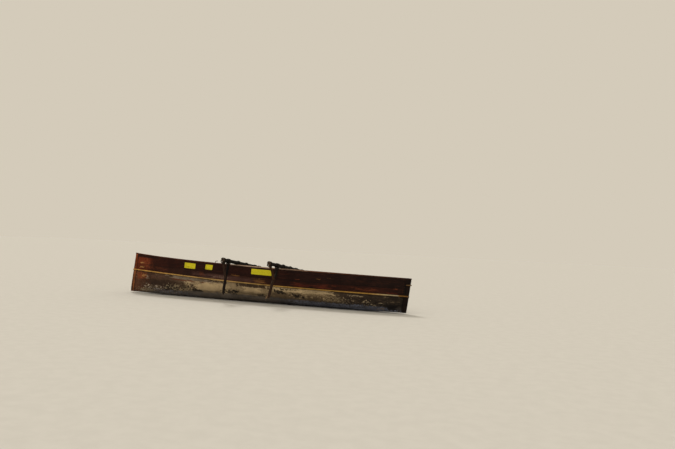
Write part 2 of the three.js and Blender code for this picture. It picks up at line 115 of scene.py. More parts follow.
# The float's line: x in millimetres, share of its radius, and share of its upturn
FLOAT_LINE = ((-2120, 0.45, 1), (-2080, 0.62, 0.93), (-1900, 0.78, 0.6), (-1650, 0.9, 0.2), (-1350, 1, 0),
              (1050, 1, 0), (1450, 0.88, 0), (1700, 0.7, 0), (1740, 0.5, 0))
STERN_CLEAT = {"length": 0.115, "height": 0.558, "off": 0.027, "aft": 0.03, "foot": 0.044, "rise": 0.021}
HORN = (0.009, 0.0122, 0.0126, 0.0122, 0.009)  # radii along the stern cleat
HOOK = {"radius": 0.0067, "place": -1.003, "rise": 0.038, "reach": 0.056}
HOOK_LINE = ((0, -0.012 / HOOK["rise"]), (0, 0.45), (0.35, 0.85), (1, 1))  # shares of its reach and rise
# A nail's head: height over the wood, and share of its radius
NAIL = ((-0.0036, 0.8), (-0.0004, 1.0), (0.0002, 0.88), (0.0006, 0.5))
NAILS = {"along": (-3.08, 3.1, 0.22), "clear": 0.07, "inward": (0.014, 0.04),
         "small": 0.0042, "large": 0.0045}


def through(heights):
    """The curve through heights at even steps, over t from -1 at the bow to 1 at the stern."""
    line = np.polynomial.Polynomial.fit(np.linspace(-1, 1, len(heights)), heights, len(heights) - 1)
    return lambda t: line(np.asarray(t, float))


rail_top = through(SHEER)
log_top = through(JOINT)


def rail_under(t):
    return rail_top(t) - RAIL["thickness"]


def keel(t):
    return KEEL["rise"] * (np.maximum(0, np.abs(t) - KEEL["flat"]) / (1 - KEEL["flat"])) ** 2


def mix(a, b, part):
    return a + (b - a) * part


def rail_breadth(t):
    return mix(NOSE / 2, BEAM / 2, np.maximum(0, 1 - np.abs(t) ** PLAN["power"]) ** PLAN["round"])


def log_breadth(t):
    return mix(NOSE / 2, rail_breadth(t), FLARE)


def wall(t, z):
    """y of the planks' outer face at a height."""
    return mix(log_breadth(t), rail_breadth(t), (z - log_top(t)) / (rail_under(t) - log_top(t)))


def inside(t, z):
    return wall(t, z) - STRAKE


def place(t, y, z):
    """A point of the hull: both stems lean aft with height, and the lean fades out towards the middle."""
    t, y, z = np.broadcast_arrays(*(np.asarray(v, float) for v in (t, y, z)))
    rake = np.where(t < 0, math.tan(RAKE["bow"]), math.tan(RAKE["stern"])) * t ** 8
    return np.stack([HALF * t + rake * (z - np.where(t < 0, SHEER[0], SHEER[-1])), y, z], -1)


def turn(points):
    """Leans upright points over to starboard."""
    x, y, z = np.moveaxis(np.asarray(points, float), -1, 0)
    c, s = math.cos(HEEL), math.sin(HEEL)
    return np.stack([x, y * c + z * s, z * c - y * s], -1)


def boom_height(x):
    return rail_top(x / HALF) + BOOM * FLATS + GAP


def either_side(middle, width):
    return middle + np.array([-0.5, 0.5]) * width


def beam_top(x):
    return rail_under(either_side(x, BEAM_BOARD["width"]) / HALF).min() - GAP


# Where the leaned canoe lies in the frame: the board under the fore boom shows it
low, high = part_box("fore_beam")
beam_middle = (BOOM_PLACES["fore"], 0, beam_top(BOOM_PLACES["fore"]) - BEAM_BOARD["thickness"] / 2)
OFFSET = np.array((low + high) / 2) - turn(beam_middle)


def settle(points):
    return turn(points) + OFFSET


# Meshes


def unit(vectors):
    return vectors / np.maximum(np.linalg.norm(vectors, axis=-1, keepdims=True), 1e-12)


def sampled(reading, points, pace, seed):
    """A reading of a noise at each point; pace is per metre, along each axis or all."""
    spots = (points.reshape(-1, 3) * pace + seed).tolist()
    return np.array([reading(spot) for spot in spots]).reshape(points.shape[:-1])


def bumps(points, pace, seed=0):
    """Smooth noise, about -1 to 1."""
    return sampled(noise.noise, points, pace, seed)


def waves(points, pace, depth, seed=0):
    """Smooth unevenness, from 0 to about twice the depth."""
    return (bumps(points, pace, seed) + 1) * depth


def dents(points, pace, depth, seed=0):
    """Separate dents of up to a depth."""
    return np.clip(bumps(points, pace, seed), 0, 1) * depth


def scoops(points, pace, depth, seed=0):
    """Hollows of an adze, deepest in the middle of each and 0 at its rim."""
    near = sampled(lambda spot: noise.voronoi(spot)[0][0], points, pace, seed)
    return (1 - np.minimum(near, 1) ** 2) * depth


def splits(points, pace, depth, seed, width, where, start, gain):
    """Drying splits: thin lines where one noise crosses 0, and only in places where another is above it."""
    lines = np.clip(1 - np.abs(bumps(points, pace, seed)) / width, 0, 1)
    return lines * np.clip(bumps(points, where, start) * gain, 0, 1) * depth


def normals(rings):
    """Normals of closed rings, outwards or inwards as the rings are wound."""
    around = np.roll(rings, -1, 1) - np.roll(rings, 1, 1)
    return unit(np.cross(around, np.gradient(rings, axis=0)))


def outward(rings):
    """The rings' normals, turned away from their middles."""
    found = normals(rings)
    return found if (found * (rings - rings.mean(1, keepdims=True))).sum() > 0 else -found


def inset(rings, depth):
    """Moves points inwards by a depth for each."""
    return rings - outward(rings) * np.asarray(depth)[..., None]


def eased_ends(rings, bevel):
    """Rounds both ends of a swept body: each end ring is drawn in, with a full ring just behind it."""
    away = outward(rings)
    first, last = unit(rings[1] - rings[0]), unit(rings[-2] - rings[-1])
    head = np.stack([rings[0] - away[0] * bevel, rings[0] + first * bevel])
    tail = np.stack([rings[-1] + last * bevel, rings[-1] - away[-1] * bevel])
    return np.concatenate([head, rings[1:-1], tail])


def linked(name, data):
    made = bpy.data.objects.new(name, data)
    bpy.context.scene.collection.objects.link(made)
    return made


def meshed(name, points, faces):
    mesh = bpy.data.meshes.new(name)
    mesh.from_pydata(points.tolist(), [], faces)
    return mesh


def read(data, key, width=3, kind=float):
    """One property of all the points or edges of a mesh, a row for each."""
    values = np.empty(len(data) * width, kind)
    data.foreach_get(key, values)
    return values.reshape(-1, width)


def keep(mesh, key, values):
    """Keeps a number, or three, for each point of a mesh."""
    kind, field = ("FLOAT", "value") if values.ndim == 1 else ("FLOAT_VECTOR", "vector")
    mesh.attributes.new(key, kind, "POINT").data.foreach_set(field, values.astype(np.float32).ravel())


class Shape:
    """Bodies that make up one piece. Each point also keeps its place in the wood and its zone on the hull."""

    def __init__(self):
        self.points, self.faces, self.grain, self.zone = [], [], [], []
        self.count = 0

    def add(self, rings, grain=None, zone=None, ease=0.0):
        """A closed body through rings of as many points each, with a fan over each end and its rim eased."""
        grain = rings if grain is None else grain
        zone = np.zeros_like(rings) if zone is None else zone
        if ease:
            rings = eased_ends(rings, ease)
            grain, zone = (np.concatenate([v[:1], v, v[-1:]]) for v in (grain, zone))
        rows, around = rings.shape[:2]
        index = np.arange(rows * around).reshape(rows, around) + self.count
        turned = np.roll(index, -1, 1)
        quads = np.stack([index[:-1], turned[:-1], turned[1:], index[1:]], -1).reshape(-1, 4)
        first, last = self.count + rows * around, self.count + rows * around + 1
        faces = quads.tolist() + [[first, j, i] for i, j in zip(index[0], turned[0])]
        faces += [[last, i, j] for i, j in zip(index[-1], turned[-1])]
        if (normals(rings) * (rings - rings.mean((0, 1)))).sum() < 0:
            faces = [face[::-1] for face in faces]
        self.faces += faces
        for kept, values in ((self.points, rings), (self.grain, grain), (self.zone, zone)):
            kept.extend([values.reshape(-1, 3), values[[0, -1]].mean(1)])
        self.count += rows * around + 2
        return self

    def build(self, name, material, slot, node=None, sharp=35):
        mesh = meshed(name, settle(np.concatenate(self.points)), self.faces)
        keep(mesh, "grain", np.concatenate(self.grain))
        keep(mesh, "zone", np.concatenate(self.zone))
        finish_piece(mesh, material, node, sharp)


def mark_edges(mesh):
    """Keeps how far each point stands out from its neighbours: above 0 on edges, below 0 in hollows."""
    points, facing = read(mesh.vertices, "co"), read(mesh.vertex_normals, "vector")
    pairs = read(mesh.edges, "vertices", 2, int)
    start, end = np.concatenate([pairs, pairs[:, ::-1]]).T
    slope = (facing[start] * unit(points[end] - points[start])).sum(1)
    total, number = (np.bincount(start, weights, len(points)) for weights in (slope, None))
    keep(mesh, "edge", -total / np.maximum(number, 1))


def finish_piece(mesh, material, node, sharp):
    mark_edges(mesh)
    mesh.shade_smooth()
    mesh.set_sharp_from_angle(angle=math.radians(sharp))
    mesh.materials.append(material)
    piece = linked(mesh.name, mesh)
    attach(piece, "root")
    if node:
        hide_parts(node)


def arc(corners, i, radius):
    """Three points round corner i of each polygon."""
    corner = corners[:, i]
    start, end = (corner + unit(corners[:, j % corners.shape[1]] - corner) * radius for j in (i - 1, i + 1))
    return [start * (1 - p) ** 2 + corner * 2 * p * (1 - p) + end * p ** 2 for p in (0, 0.5, 1)]


def rounded(corners, radius, steps=(0, 0, 0, 0)):
    """Rings of a polygon with rounded corners. corners is rings by corners by axes; steps are the points set
    between each corner and the next."""
    arcs = [arc(corners, i, radius) for i in range(len(steps))]
    columns = []
    for count, own, after in zip(steps, arcs, arcs[1:] + arcs[:1]):
        columns += own + [mix(own[-1], after[0], k / (count + 1)) for k in range(1, count + 1)]
    return np.stack(columns, 1)


def lengths(line):
    """How far along a line each of its points is."""
    return np.concatenate([[0], np.cumsum(np.linalg.norm(np.diff(line, axis=0), axis=1))])


def evenly(line, count):
    """The same line with a count of points at even steps."""
    run = lengths(line)
    return np.stack([np.interp(np.linspace(0, run[-1], count), run, column) for column in line.T], -1)


def spaced(line, step):
    return evenly(line, max(2, round(lengths(line)[-1] / step) + 1))


def smooth_line(points, step):
    """Points at even steps on a smooth curve through the given ones."""
    points = np.asarray(points, float)
    ends = np.concatenate([[2 * points[0] - points[1]], points, [2 * points[-1] - points[-2]]])
    dense = [points[:1]]
    for p0, p1, p2, p3 in zip(ends, ends[1:], ends[2:], ends[3:]):
        s = np.linspace(0, 1, 25)[1:, None]
        before, own, after = (np.linalg.norm(b - a) for a, b in ((p0, p1), (p1, p2), (p2, p3)))
        tangents = (p2 - p0) * own / (before + own), (p3 - p1) * own / (own + after)
        dense.append((2 * s ** 3 - 3 * s ** 2 + 1) * p1 + (s ** 3 - 2 * s ** 2 + s) * tangents[0]
                     + (3 * s ** 2 - 2 * s ** 3) * p2 + (s ** 3 - s ** 2) * tangents[1])
    return spaced(np.concatenate(dense), step)


def frames(line, across):
    """Two unit directions square to a line, the first as near as can be to across."""
    tangents = unit(np.gradient(line, axis=0))
    first = unit(across - tangents * (tangents @ across)[:, None])
    return first, np.cross(tangents, first)


def circle(count):
    angle = 2 * math.pi * np.arange(count) / count
    return np.stack([np.cos(angle), np.sin(angle)], -1)


def rod(line, radii, around, across=LENGTHWAYS):
    """Rings of a round rod along a line, and its grain: along, then two distances from its heart."""
    first, second = frames(line, np.array(across))
    flat = circle(around)[None] * radii[:, None, None]
    rings = line[:, None] + flat[..., :1] * first[:, None] + flat[..., 1:] * second[:, None]
    along = np.broadcast_to(lengths(line)[:, None, None], (len(line), around, 1))
    return rings, np.concatenate([along, flat], -1)


def round_end(line, radii, length):
    """Draws both ends of a rod in over a length."""
    run = lengths(line)
    near = np.minimum(run, run[-1] - run) / length
    return radii * np.sqrt(np.clip(1 - np.clip(1 - near, 0, 1) ** 2, 0.12, 1))


# Materials


def tone(red, green, blue):
    """A colour as the eye reads it, 0 to 255, turned into light."""
    parts = (value / 255 for value in (red, green, blue))
    return tuple(p / 12.92 if p <= 0.04045 else ((p + 0.055) / 1.055) ** 2.4 for p in parts) + (1.0,)


def reckoning(operation):
    """A sum, as a method of the first of its values."""
    return lambda *values: values[0].tree.math(operation, *values)


class Wire:
    """A node's output, to reckon with as if it were a number."""

    def __init__(self, tree, socket):
        self.tree, self.socket = tree, socket

    __add__, __sub__, __mul__ = reckoning("ADD"), reckoning("SUBTRACT"), reckoning("MULTIPLY")
    __pow__, __abs__, most = reckoning("POWER"), reckoning("ABSOLUTE"), reckoning("MAXIMUM")

    def step(self, low, high, start=0, end=1):
        """Goes smoothly from start to end as the value goes from low to high."""
        inputs = {"Value": self, "From Min": low, "From Max": high, "To Min": start, "To Max": end}
        return self.tree.put("MapRange", inputs, interpolation_type="SMOOTHSTEP")

    def band(self, low, high, soft):
        """1 between low and high, 0 outside, with soft edges."""
        return self.step(low - soft, low + soft) * self.step(high - soft, high + soft, 1, 0)


class Tree:
    """A material's nodes. Tones are given as red, green and blue from 0 to 255."""

    def __init__(self, name):
        self.material = bpy.data.materials.new(name)
        self.material.use_nodes = True
        self.nodes, self.links = self.material.node_tree.nodes, self.material.node_tree.links
        self.nodes.clear()
        self.shader = self.nodes.new("ShaderNodeBsdfPrincipled")
        self.links.new(self.shader.outputs[0], self.nodes.new("ShaderNodeOutputMaterial").inputs[0])

    def feed(self, socket, value):
        if isinstance(value, Wire):
            self.links.new(value.socket, socket)
        else:
            socket.default_value = value

    def put(self, kind, inputs, out=0, **settings):
        node = self.nodes.new("ShaderNode" + kind)
        for key, value in settings.items():
            setattr(node, key, value)
        for key, value in inputs.items():
            self.feed(node.inputs[key], value)
        return Wire(self, node.outputs[out])

    def attribute(self, name, out="Vector"):
        return self.put("Attribute", {}, out, attribute_name=name)

    def split(self, name):
        """The three parts of an attribute."""
        node = self.put("SeparateXYZ", {0: self.attribute(name)}).socket.node
        return [Wire(self, part) for part in node.outputs]

    def math(self, operation, *values):
        return self.put("Math", dict(enumerate(values)), operation=operation)

    def noise(self, pace, detail=3, rough=0.6, twist=0, shift=(0, 0, 0), spot=None):
        """Noise in the wood's own grain, or at another spot; pace is per metre, along each axis or all."""
        paces = pace if isinstance(pace, tuple) else (pace, pace, pace)
        scaled = self.put("VectorMath", {0: spot or self.attribute("grain"), 1: paces}, operation="MULTIPLY")
        spot = self.put("VectorMath", {0: scaled, 1: shift}, operation="ADD")
        inputs = {"Vector": spot, "Scale": 1, "Detail": detail, "Roughness": rough, "Distortion": twist}
        return self.put("TexNoise", inputs)

    def mix(self, part, a, b, kind="MIX"):
        a, b = (tone(*value) if isinstance(value, tuple) else value for value in (a, b))
        return self.put("Mix", {0: part, 6: a, 7: b}, 2, data_type="RGBA", blend_type=kind)

    def laid(self, colour, *coats):
        """Lays coats over a colour in turn: how much each covers, and its tone."""
        for cover, coat in coats:
            colour = self.mix(cover, colour, coat)
        return colour

    def ramp(self, value, *stops):
        """Goes through tones: each stop is a value from 0 to 1 and its tone."""
        node = self.nodes.new("ShaderNodeValToRGB")
        self.feed(node.inputs[0], value)
        elements = node.color_ramp.elements
        for _ in stops[2:]:
            elements.new(0.5)
        for element, (position, *colour) in zip(elements, stops):
            element.position, element.color = position, tone(*colour)
        return Wire(self, node.outputs[0])

    def hull_ramp(self, x, *stops):
        """The same along the hull, where each stop is an x."""
        return self.ramp(x * (0.5 / HALF) + 0.5, *((0.5 + 0.5 * at / HALF, *colour) for at, *colour in stops))

    def finish(self, colour, rough, height, relief, metallic=0.0):
        bump = self.put("Bump", {"Height": height, "Distance": relief, "Strength": 1.0})
        inputs = {"Base Color": colour, "Roughness": rough, "Metallic": metallic, "Normal": bump}
        for key, value in inputs.items():
            self.feed(self.shader.inputs[key], value)
        self.shader.inputs["Specular IOR Level"].default_value = 0.1
        return self.material


def wood(name, dark, light, worn, paint=None, across=42, relief=0.0016, wear=0.06):
    """Weathered wood: fibres along the grain, drying cracks, blotches, bare worn edges and painted shade in
    its hollows. paint takes the tree and the bare colour, and gives the painted colour."""
    tree = Tree(name)
    tree.fibres = tree.noise((1.6, across, across), 5, 0.62, 0.3)
    tree.threads = tree.noise((6.4, across * 7, across * 7), 3, 0.7)
    tree.blotch = tree.noise(3.1, 4, 0.62)
    tree.speck = tree.noise((60, 150, 150), 2, 0.7)
    line = abs(tree.noise((1.1, 46, 46), 2, 0.5, 0.4, (3, 3, 0)) - 0.5)
    cracks = line.step(0, 0.02, 1, 0) * tree.noise((1.3, 6, 6), 2, 0.6, 0, (3, 0, 3)).step(0.47, 0.6)
    colour = tree.mix(tree.fibres.step(0.32, 0.68), dark, light)
    colour = tree.mix(tree.threads.step(0.35, 0.75, 0, 0.35), colour, worn)
    if paint:
        colour = paint(tree, colour)
    shade = tree.blotch.step(0.35, 0.66, 0.72, 1.12)
    colour = tree.mix(1, colour, tree.put("CombineColor", {0: shade, 1: shade, 2: shade}), "MULTIPLY")
    edge = tree.attribute("edge", "Fac")
    if wear:
        lightened = edge.step(wear * 0.4, wear) * tree.fibres.step(0.38, 0.6, 0.25, 0.9)
        colour = tree.mix(lightened, colour, worn)
    # Painted shade in hollows: darker where a point sits below its neighbours. The drying cracks are dark in
    # their own right.
    hollow_shade = edge.step(-0.08, -0.015, 0.55, 0)
    colour = tree.mix((cracks * 0.8).most(hollow_shade), colour, (22, 17, 14))
    height = tree.fibres * 0.5 + tree.threads * 0.35 + tree.speck * 0.15 - cracks * 0.9
    return tree.finish(colour, tree.threads.step(0.3, 0.7, 0.6, 0.9), height, relief)


# Tones of paint, bare wood and weather
TONES = {
    "tar": (19, 16, 15), "char": (32, 26, 22), "umber": (56, 40, 30), "plum": (92, 64, 58),
    "oxide": (100, 42, 26), "sienna": (132, 68, 38), "ochre": (208, 156, 96), "straw": (138, 94, 46),
    "chalk": (228, 208, 188), "primer": (132, 117, 101), "lichen": (168, 150, 122), "slate": (98, 102, 116),
    "buff": (192, 168, 130),
}
LEAN = 0.6  # how far chips lean aft for each metre that they fall
RIM = {"power": 2.6, "loss": 0.24}
# The noises that wear the paint: pace along each axis, shift, detail and roughness. Chips lean aft as they
# fall, drips run down the side and streaks along it
WEAR = {
    "fleck": ((26, 40, 40), (2, 5, 0), 3, 0.7),
    "chip": ((38, 14, 17), (0, 9, 4), 4, 0.75),
    "spark": ((23, 29, 33), (3, 0, 6), 3, 0.62),
    "drip": ((22, 7, 7), (0, 3, 0), 4, 0.7),
    "streak": ((2.6, 34, 62), (4, 1, 8), 4, 0.7),
    "smear": ((5, 22, 26), (7, 0, 1), 5, 0.72),
}
# Marks in the paint: from and to along the hull, from and to above the log's top edge, the noise that tears
# it, how much of that noise it covers (0 is all of it), how strong it is, and its tone
PLANK_MARKS = (
    (-1.75, 0.3, 0, 0.13, "streak", 0.42, 0.6, "plum"),
    (-1.15, -0.55, 0.03, 0.11, "fleck", 0.5, 0.4, "primer"),
    (-0.12, 0.27, 0.02, 0.13, "streak", 0.45, 0.5, "straw"),
    (0.62, 1.9, 0.02, 0.12, "streak", 0.48, 0.6, "oxide"),
    (2, 2.75, 0.03, 0.12, "streak", 0.52, 0.4, "sienna"),
    (2.75, 3.05, 0.02, 0.07, "streak", 0.46, 0.6, "oxide"),
    (-3.12, -2.62, 0.02, 0.32, "chip", 0.47, 0.45, "sienna"),
    # These two sienna smears are partly painted light: a warm sunlit glow on the bow's planks.
    (-3.12, -2.75, 0.14, 0.24, "smear", 0.46, 0.45, "sienna"),
    (-2.75, -2.1, 0.04, 0.16, "smear", 0.5, 0.2, "sienna"),
    (-3.05, -2.9, 0.06, 0.1, "smear", 0.4, 0.55, "ochre"),
    (-3.05, -2.9, 0.15, 0.19, "smear", 0.4, 0.6, "ochre"),
    (-1.4, -1.22, 0.04, 0.14, "chip", 0.44, 0.35, "sienna"),
    (-0.6, -0.4, 0.13, 0.15, "smear", 0.3, 0.75, "straw"),
    (0.86, 1, 0.165, 0.185, "streak", 0.4, 0.6, "sienna"),
    (1.3, 1.46, 0.205, 0.225, "streak", 0.38, 0.55, "straw"),
    (1.54, 1.74, 0.236, 0.25, "streak", 0.38, 0.4, "straw"),
    (1.69, 1.77, 0.08, 0.11, "fleck", 0.42, 0.5, "sienna"),
    (2.94, 3.02, 0.12, 0.15, "fleck", 0.4, 0.5, "sienna"),
)
LOG_MARKS = (
    (-3.15, -2.72, -0.22, -0.01, "chip", 0.42, 0.75, "sienna"),
    (-3, -2.72, -0.2, -0.03, "spark", 0.54, 0.5, "ochre"),
    (-3, -2, -0.15, -0.02, "chip", 0.5, 0.35, "plum"),
    (-3, -1.8, -0.29, -0.13, "smear", 0.41, 0.85, "umber"),
    (-3.05, -1.8, -0.47, -0.24, "smear", 0.42, 0.7, "umber"),
    (-3.04, -2, -0.47, -0.24, "spark", 0.56, 0.9, "chalk"),
    (-3, -2.1, -0.47, -0.22, "fleck", 0.54, 0.6, "lichen"),
    (-3.06, -2.3, -0.51, -0.35, "fleck", 0.47, 0.85, "lichen"),
    (-2.3, -1.84, -0.37, -0.23, "smear", 0.38, 0.7, "char"),
    (-2.5, -1.6, -0.42, -0.14, "spark", 0.57, 0.85, "lichen"),
    (-1.84, -1.6, -0.36, -0.22, "spark", 0.47, 0.9, "lichen"),
    (-2.05, -1.6, -0.4, -0.16, "fleck", 0.55, 0.75, "buff"),
    (-2.81, -2.74, -0.18, -0.08, "chip", 0.4, 0.4, "chalk"),
    (-2.2, -1, -0.08, -0.01, "smear", 0.34, 0.9, "primer"),
    (-2.05, -1.05, -0.105, -0.08, "streak", 0.3, 0.75, "oxide"),
    (-1.8, -1.3, -0.31, -0.09, "spark", 0.42, 0.8, "buff"),
    (-1.95, -1.3, -0.3, -0.11, "chip", 0.52, 0.95, "umber"),
    (-1.95, -1.25, -0.32, -0.1, "spark", 0.56, 0.95, "char"),
    (-1.54, -1.27, -0.315, -0.235, "smear", 0.3, 0.96, "tar"),
    (-1.46, -0.6, -0.26, -0.075, "smear", 0.34, 0.9, "buff"),
    (-1.22, -0.8, -0.38, -0.3, "fleck", 0.42, 0.9, "tar"),
    (-1.25, -0.62, -0.06, -0.012, "spark", 0.44, 0.9, "umber"),
    (-0.78, -0.34, -0.33, -0.13, "spark", 0.5, 0.9, "char"),
    (-0.56, -0.38, -0.22, -0.165, "smear", 0.36, 0.95, "tar"),
    (-0.38, 0.2, -0.18, -0.06, "smear", 0.4, 0.6, "buff"),
    (-0.5, 0.38, -0.085, -0.01, "drip", 0.4, 0.9, "umber"),
    (0.02, 0.24, -0.27, -0.18, "spark", 0.4, 0.9, "char"),
    (0.3, 1.85, -0.36, -0.125, "smear", 0.3, 0.6, "umber"),
    (0.28, 1.7, -0.1, -0.006, "smear", 0.33, 0.8, "buff"),
    (0.33, 1, -0.085, -0.016, "spark", 0.51, 0.9, "char"),
    (0.33, 1.55, -0.115, -0.03, "fleck", 0.51, 0.75, "buff"),
    (0.38, 0.72, -0.16, -0.065, "chip", 0.41, 0.96, "tar"),
    (0.74, 1.15, -0.22, -0.085, "chip", 0.47, 0.96, "tar"),
    (0.5, 1.7, -0.24, -0.1, "spark", 0.57, 0.5, "buff"),
    (1.5, 2.25, -0.28, -0.07, "spark", 0.54, 0.8, "lichen"),
    (1.4, 2.1, -0.28, -0.07, "fleck", 0.53, 0.7, "buff"),
    (1.55, 3.05, -0.31, -0.06, "fleck", 0.5, 0.85, "char"),
    (2.1, 3.05, -0.3, -0.1, "spark", 0.58, 0.85, "lichen"),
    (2, 2.34, -0.074, -0.048, "spark", 0.42, 0.55, "lichen"),
    (2.6, 3.18, -0.38, -0.16, "smear", 0.32, 0.92, "tar"),
)
BILGE_MARKS = (
    (-2.85, -1.1, -0.48, -0.32, "spark", 0.5, 0.6, "slate"),
    (-2.6, -1.3, -0.48, -0.34, "fleck", 0.56, 0.6, "primer"),
    (-1.1, 0.6, -0.36, -0.26, "spark", 0.56, 0.35, "primer"),
    (0.4, 2.7, -0.34, -0.22, "spark", 0.51, 0.5, "slate"),
    (1.9, 2.9, -0.37, -0.28, "smear", 0.42, 0.55, "slate"),
    (2.35, 2.95, -0.33, -0.24, "fleck", 0.57, 0.55, "primer"),
    (2.8, 3.06, -0.31, -0.18, "smear", 0.34, 0.92, "tar"),
    (2.75, 3.2, -0.37, -0.27, "spark", 0.46, 0.85, "slate"),
)
# Yellow panels to port: from and to along the hull, from and to above the log's top edge, and slant
PANELS = (
    (-1.771, -1.49, 0.177, 0.294, 0.02),
    (-1.228, -1.052, 0.198, 0.303, 0.14),
    (-0.121, 0.345, 0.201, 0.313, 0.02),
)


def weather(tree):
    """The noises that wear the paint, and the place in the wood."""
    x, y, z = tree.split("grain")
    leaning = tree.put("CombineXYZ", {0: z * LEAN + x, 1: y, 2: z})
    worn = SimpleNamespace(y=y, z=z)
    for kind, (pace, shift, detail, rough) in WEAR.items():
        setattr(worn, kind, tree.noise(pace, detail, rough, 0, shift, leaning if kind == "chip" else None))
    return worn


def torn(tree, worn):
    """The zone's x, height and outer share, then x and height with ragged shifts."""
    x, height, outer = tree.split("zone")
    return x, height, outer, x + (worn.fleck - 0.5) * 0.22, height + (worn.drip - 0.5) * 0.07


def marked(tree, body, x, height, worn, rows):
    """Paints rows of marks over a colour. Towards its rim a mark breaks up in the noise that fills it."""
    for start, end, bottom, top, kind, cover, strength, name in rows:
        lean = LEAN if kind == "chip" else 0
        middle, level = (start + end) / 2, (bottom + top) / 2
        shifted = x + height * lean if lean else x
        along = abs(shifted - (middle + lean * level)) * (2 / (end - start))
        up = abs(height - level) * (2 / (top - bottom))
        bare = getattr(worn, kind) - along.most(up) ** RIM["power"] * RIM["loss"]
        body = tree.mix(bare.step(cover - 0.05, cover + 0.02, 0, strength), body, TONES[name])
    return body


def plank_paint(tree, colour):
    """Old dark red-brown paint on the planks, warmest at the bow, where it also carries a painted sunlit glow
    and painted shadow under the rail, with three yellow panels to port.
    """
    worn = weather(tree)
    x, height, outer, ragged_x, ragged_height = torn(tree, worn)
    # Along the hull: the bright orange-red towards the bow is red-brown paint lightened with painted
    # sunlight.
    upper = tree.hull_ramp(
        ragged_x, (-HALF, 132, 54, 21), (-3, 116, 47, 19), (-2.65, 60, 25, 14), (-2.2, 47, 19, 12),
        (-1.5, 44, 19, 13), (0.5, 38, 18, 14), (2, 37, 19, 14), (HALF, 25, 14, 11))
    lower = tree.hull_ramp(
        ragged_x, (-HALF, 120, 50, 22), (-2.7, 58, 26, 16), (-1.9, 48, 26, 19), (-0.8, 54, 32, 26),
        (0.15, 58, 32, 22), (0.6, 42, 20, 15), (1.9, 52, 23, 15), (2.7, 50, 22, 14), (HALF, 30, 16, 12))
    coat = tree.laid(
        tree.mix(height.step(0.125, 0.15), lower, upper),
        (worn.streak.step(0.52, 0.7, 0, 0.38), (88, 46, 30)),
        (worn.streak.step(0.48, 0.32, 0, 0.55), (18, 11, 9)),
        (worn.smear.step(0.47, 0.3, 0, 0.35), (20, 12, 10)))
    coat = marked(tree, coat, ragged_x, ragged_height, worn, PLANK_MARKS)
    # Painted shadow under the rail near the bow.
    rail_shadow = height.step(0.275, 0.315) * x.step(-2.4, -2.8) * 0.85
    seam_line = height.band(0.139, 0.148, 0.002) * 0.6
    coat = tree.laid(
        coat,
        (rail_shadow, (18, 11, 9)),
        # Darkest where the planks meet the posts: a dark joint with painted shade along it.
        (abs(x).step(3.116, 3.13, 0, 0.85), (14, 9, 8)),
        (seam_line, (16, 11, 9)),
        (tree.threads.step(0.6, 0.76, 0, 0.25), colour))
    yellow = tree.mix(tree.blotch.step(0.3, 0.7), (234, 222, 46), (204, 190, 36))
    shown = worn.y.step(-0.01, 0, 1, 0) * outer * worn.fleck.step(0.62, 0.7, 1, 0.4)
    for start, end, bottom, top, slant in PANELS:
        slanted = x + (tree.speck - 0.5) * 0.008 - (height - top) * slant
        panel = slanted.band(start, end, 0.003) * height.band(bottom, top, 0.003)
        coat = tree.mix(panel * shown, coat, yellow)
    return tree.mix(outer, colour, coat)


def log_paint(tree, colour):
    """The log: bare grey wood amidships, dark ends, paint remnants under the batten, and along the bottom a
    dark grey band of painted shade, with blue-grey paint flecks aft.
    """
    worn = weather(tree)
    x, height, outer, ragged_x, ragged_height = torn(tree, worn)
    body = tree.hull_ramp(
        ragged_x + (height + 0.12) * 1.1, (-HALF, 96, 52, 32), (-2.9, 88, 50, 33), (-2.5, 72, 48, 36),
        (-2.1, 74, 54, 41), (-1.86, 88, 68, 52), (-1.56, 140, 120, 94), (-0.9, 156, 136, 106),
        (0.3, 140, 120, 90), (1.4, 130, 111, 83), (1.95, 54, 41, 33), (2.6, 29, 21, 18), (HALF, 20, 14, 12))
    body = tree.laid(
        body,
        (tree.threads.step(0.4, 0.75, 0, 0.3), colour),
        (worn.chip.step(0.46, 0.3, 0, 0.5), (58, 44, 34)),
        (worn.smear.step(0.46, 0.3, 0, 0.5), (46, 35, 28)),
        (worn.smear.step(0.54, 0.7, 0, 0.35), (176, 152, 118)))
    along = ragged_x + worn.y.step(-0.01, 0.01) * (ragged_x * -0.3 - 0.2)
    body = marked(tree, body, along, ragged_height, worn, LOG_MARKS)
    # Painted shade: the bare wood grows darker towards the bottom, where the hull turns under.
    lower_shade = height.step(-0.1, -0.28) * x.step(-1, 0.2, 0.4, 0.6)
    # Along the bottom a dark grey band of painted shade, where the hull turns under; the blue-grey flecks aft
    # are paint.
    level = worn.z + (worn.smear - 0.5) * 0.1 + (worn.chip - 0.5) * 0.12
    rise = x.step(-3.1, -1.5, 0.03, 0.115) + x.step(0.2, 1.4, 0, -0.026)
    bilge = tree.mix(x.step(-0.3, 1.2), (88, 82, 77), (58, 54, 51))
    blue = x.step(0.2, 1.7) * worn.fleck.step(0.62, 0.46) * x.step(3, 2.7)
    bilge = tree.mix(blue, bilge, (92, 97, 114))
    body = tree.laid(body, (lower_shade, (38, 32, 26)), ((level - rise).step(0.02, -0.015, 0, 0.9), bilge))
    body = marked(tree, body, along, ragged_height, worn, BILGE_MARKS)
    body = tree.mix(abs(x).step(3.12, 3.134, 0, 0.7), body, (20, 13, 11))
    return tree.mix(outer, colour, body)


def post_paint(tree, colour):
    """Stem posts: orange-brown streaks up and down at the bow, nearly black at the stern."""
    x, height, _ = tree.split("zone")
    streak = tree.noise((4, 70, 46), 4, 0.72)
    bow = tree.mix(streak.step(0.42, 0.6), (66, 27, 13), (150, 70, 27))
    pale = tree.mix(streak.step(0.42, 0.62), (66, 40, 26), (164, 100, 58))
    stern = tree.mix(streak.step(0.4, 0.64), (14, 9, 8), (34, 20, 15))
    return tree.mix(x.step(-1, 1), tree.mix(height.step(-0.02, 0.02), pale, bow), stern)


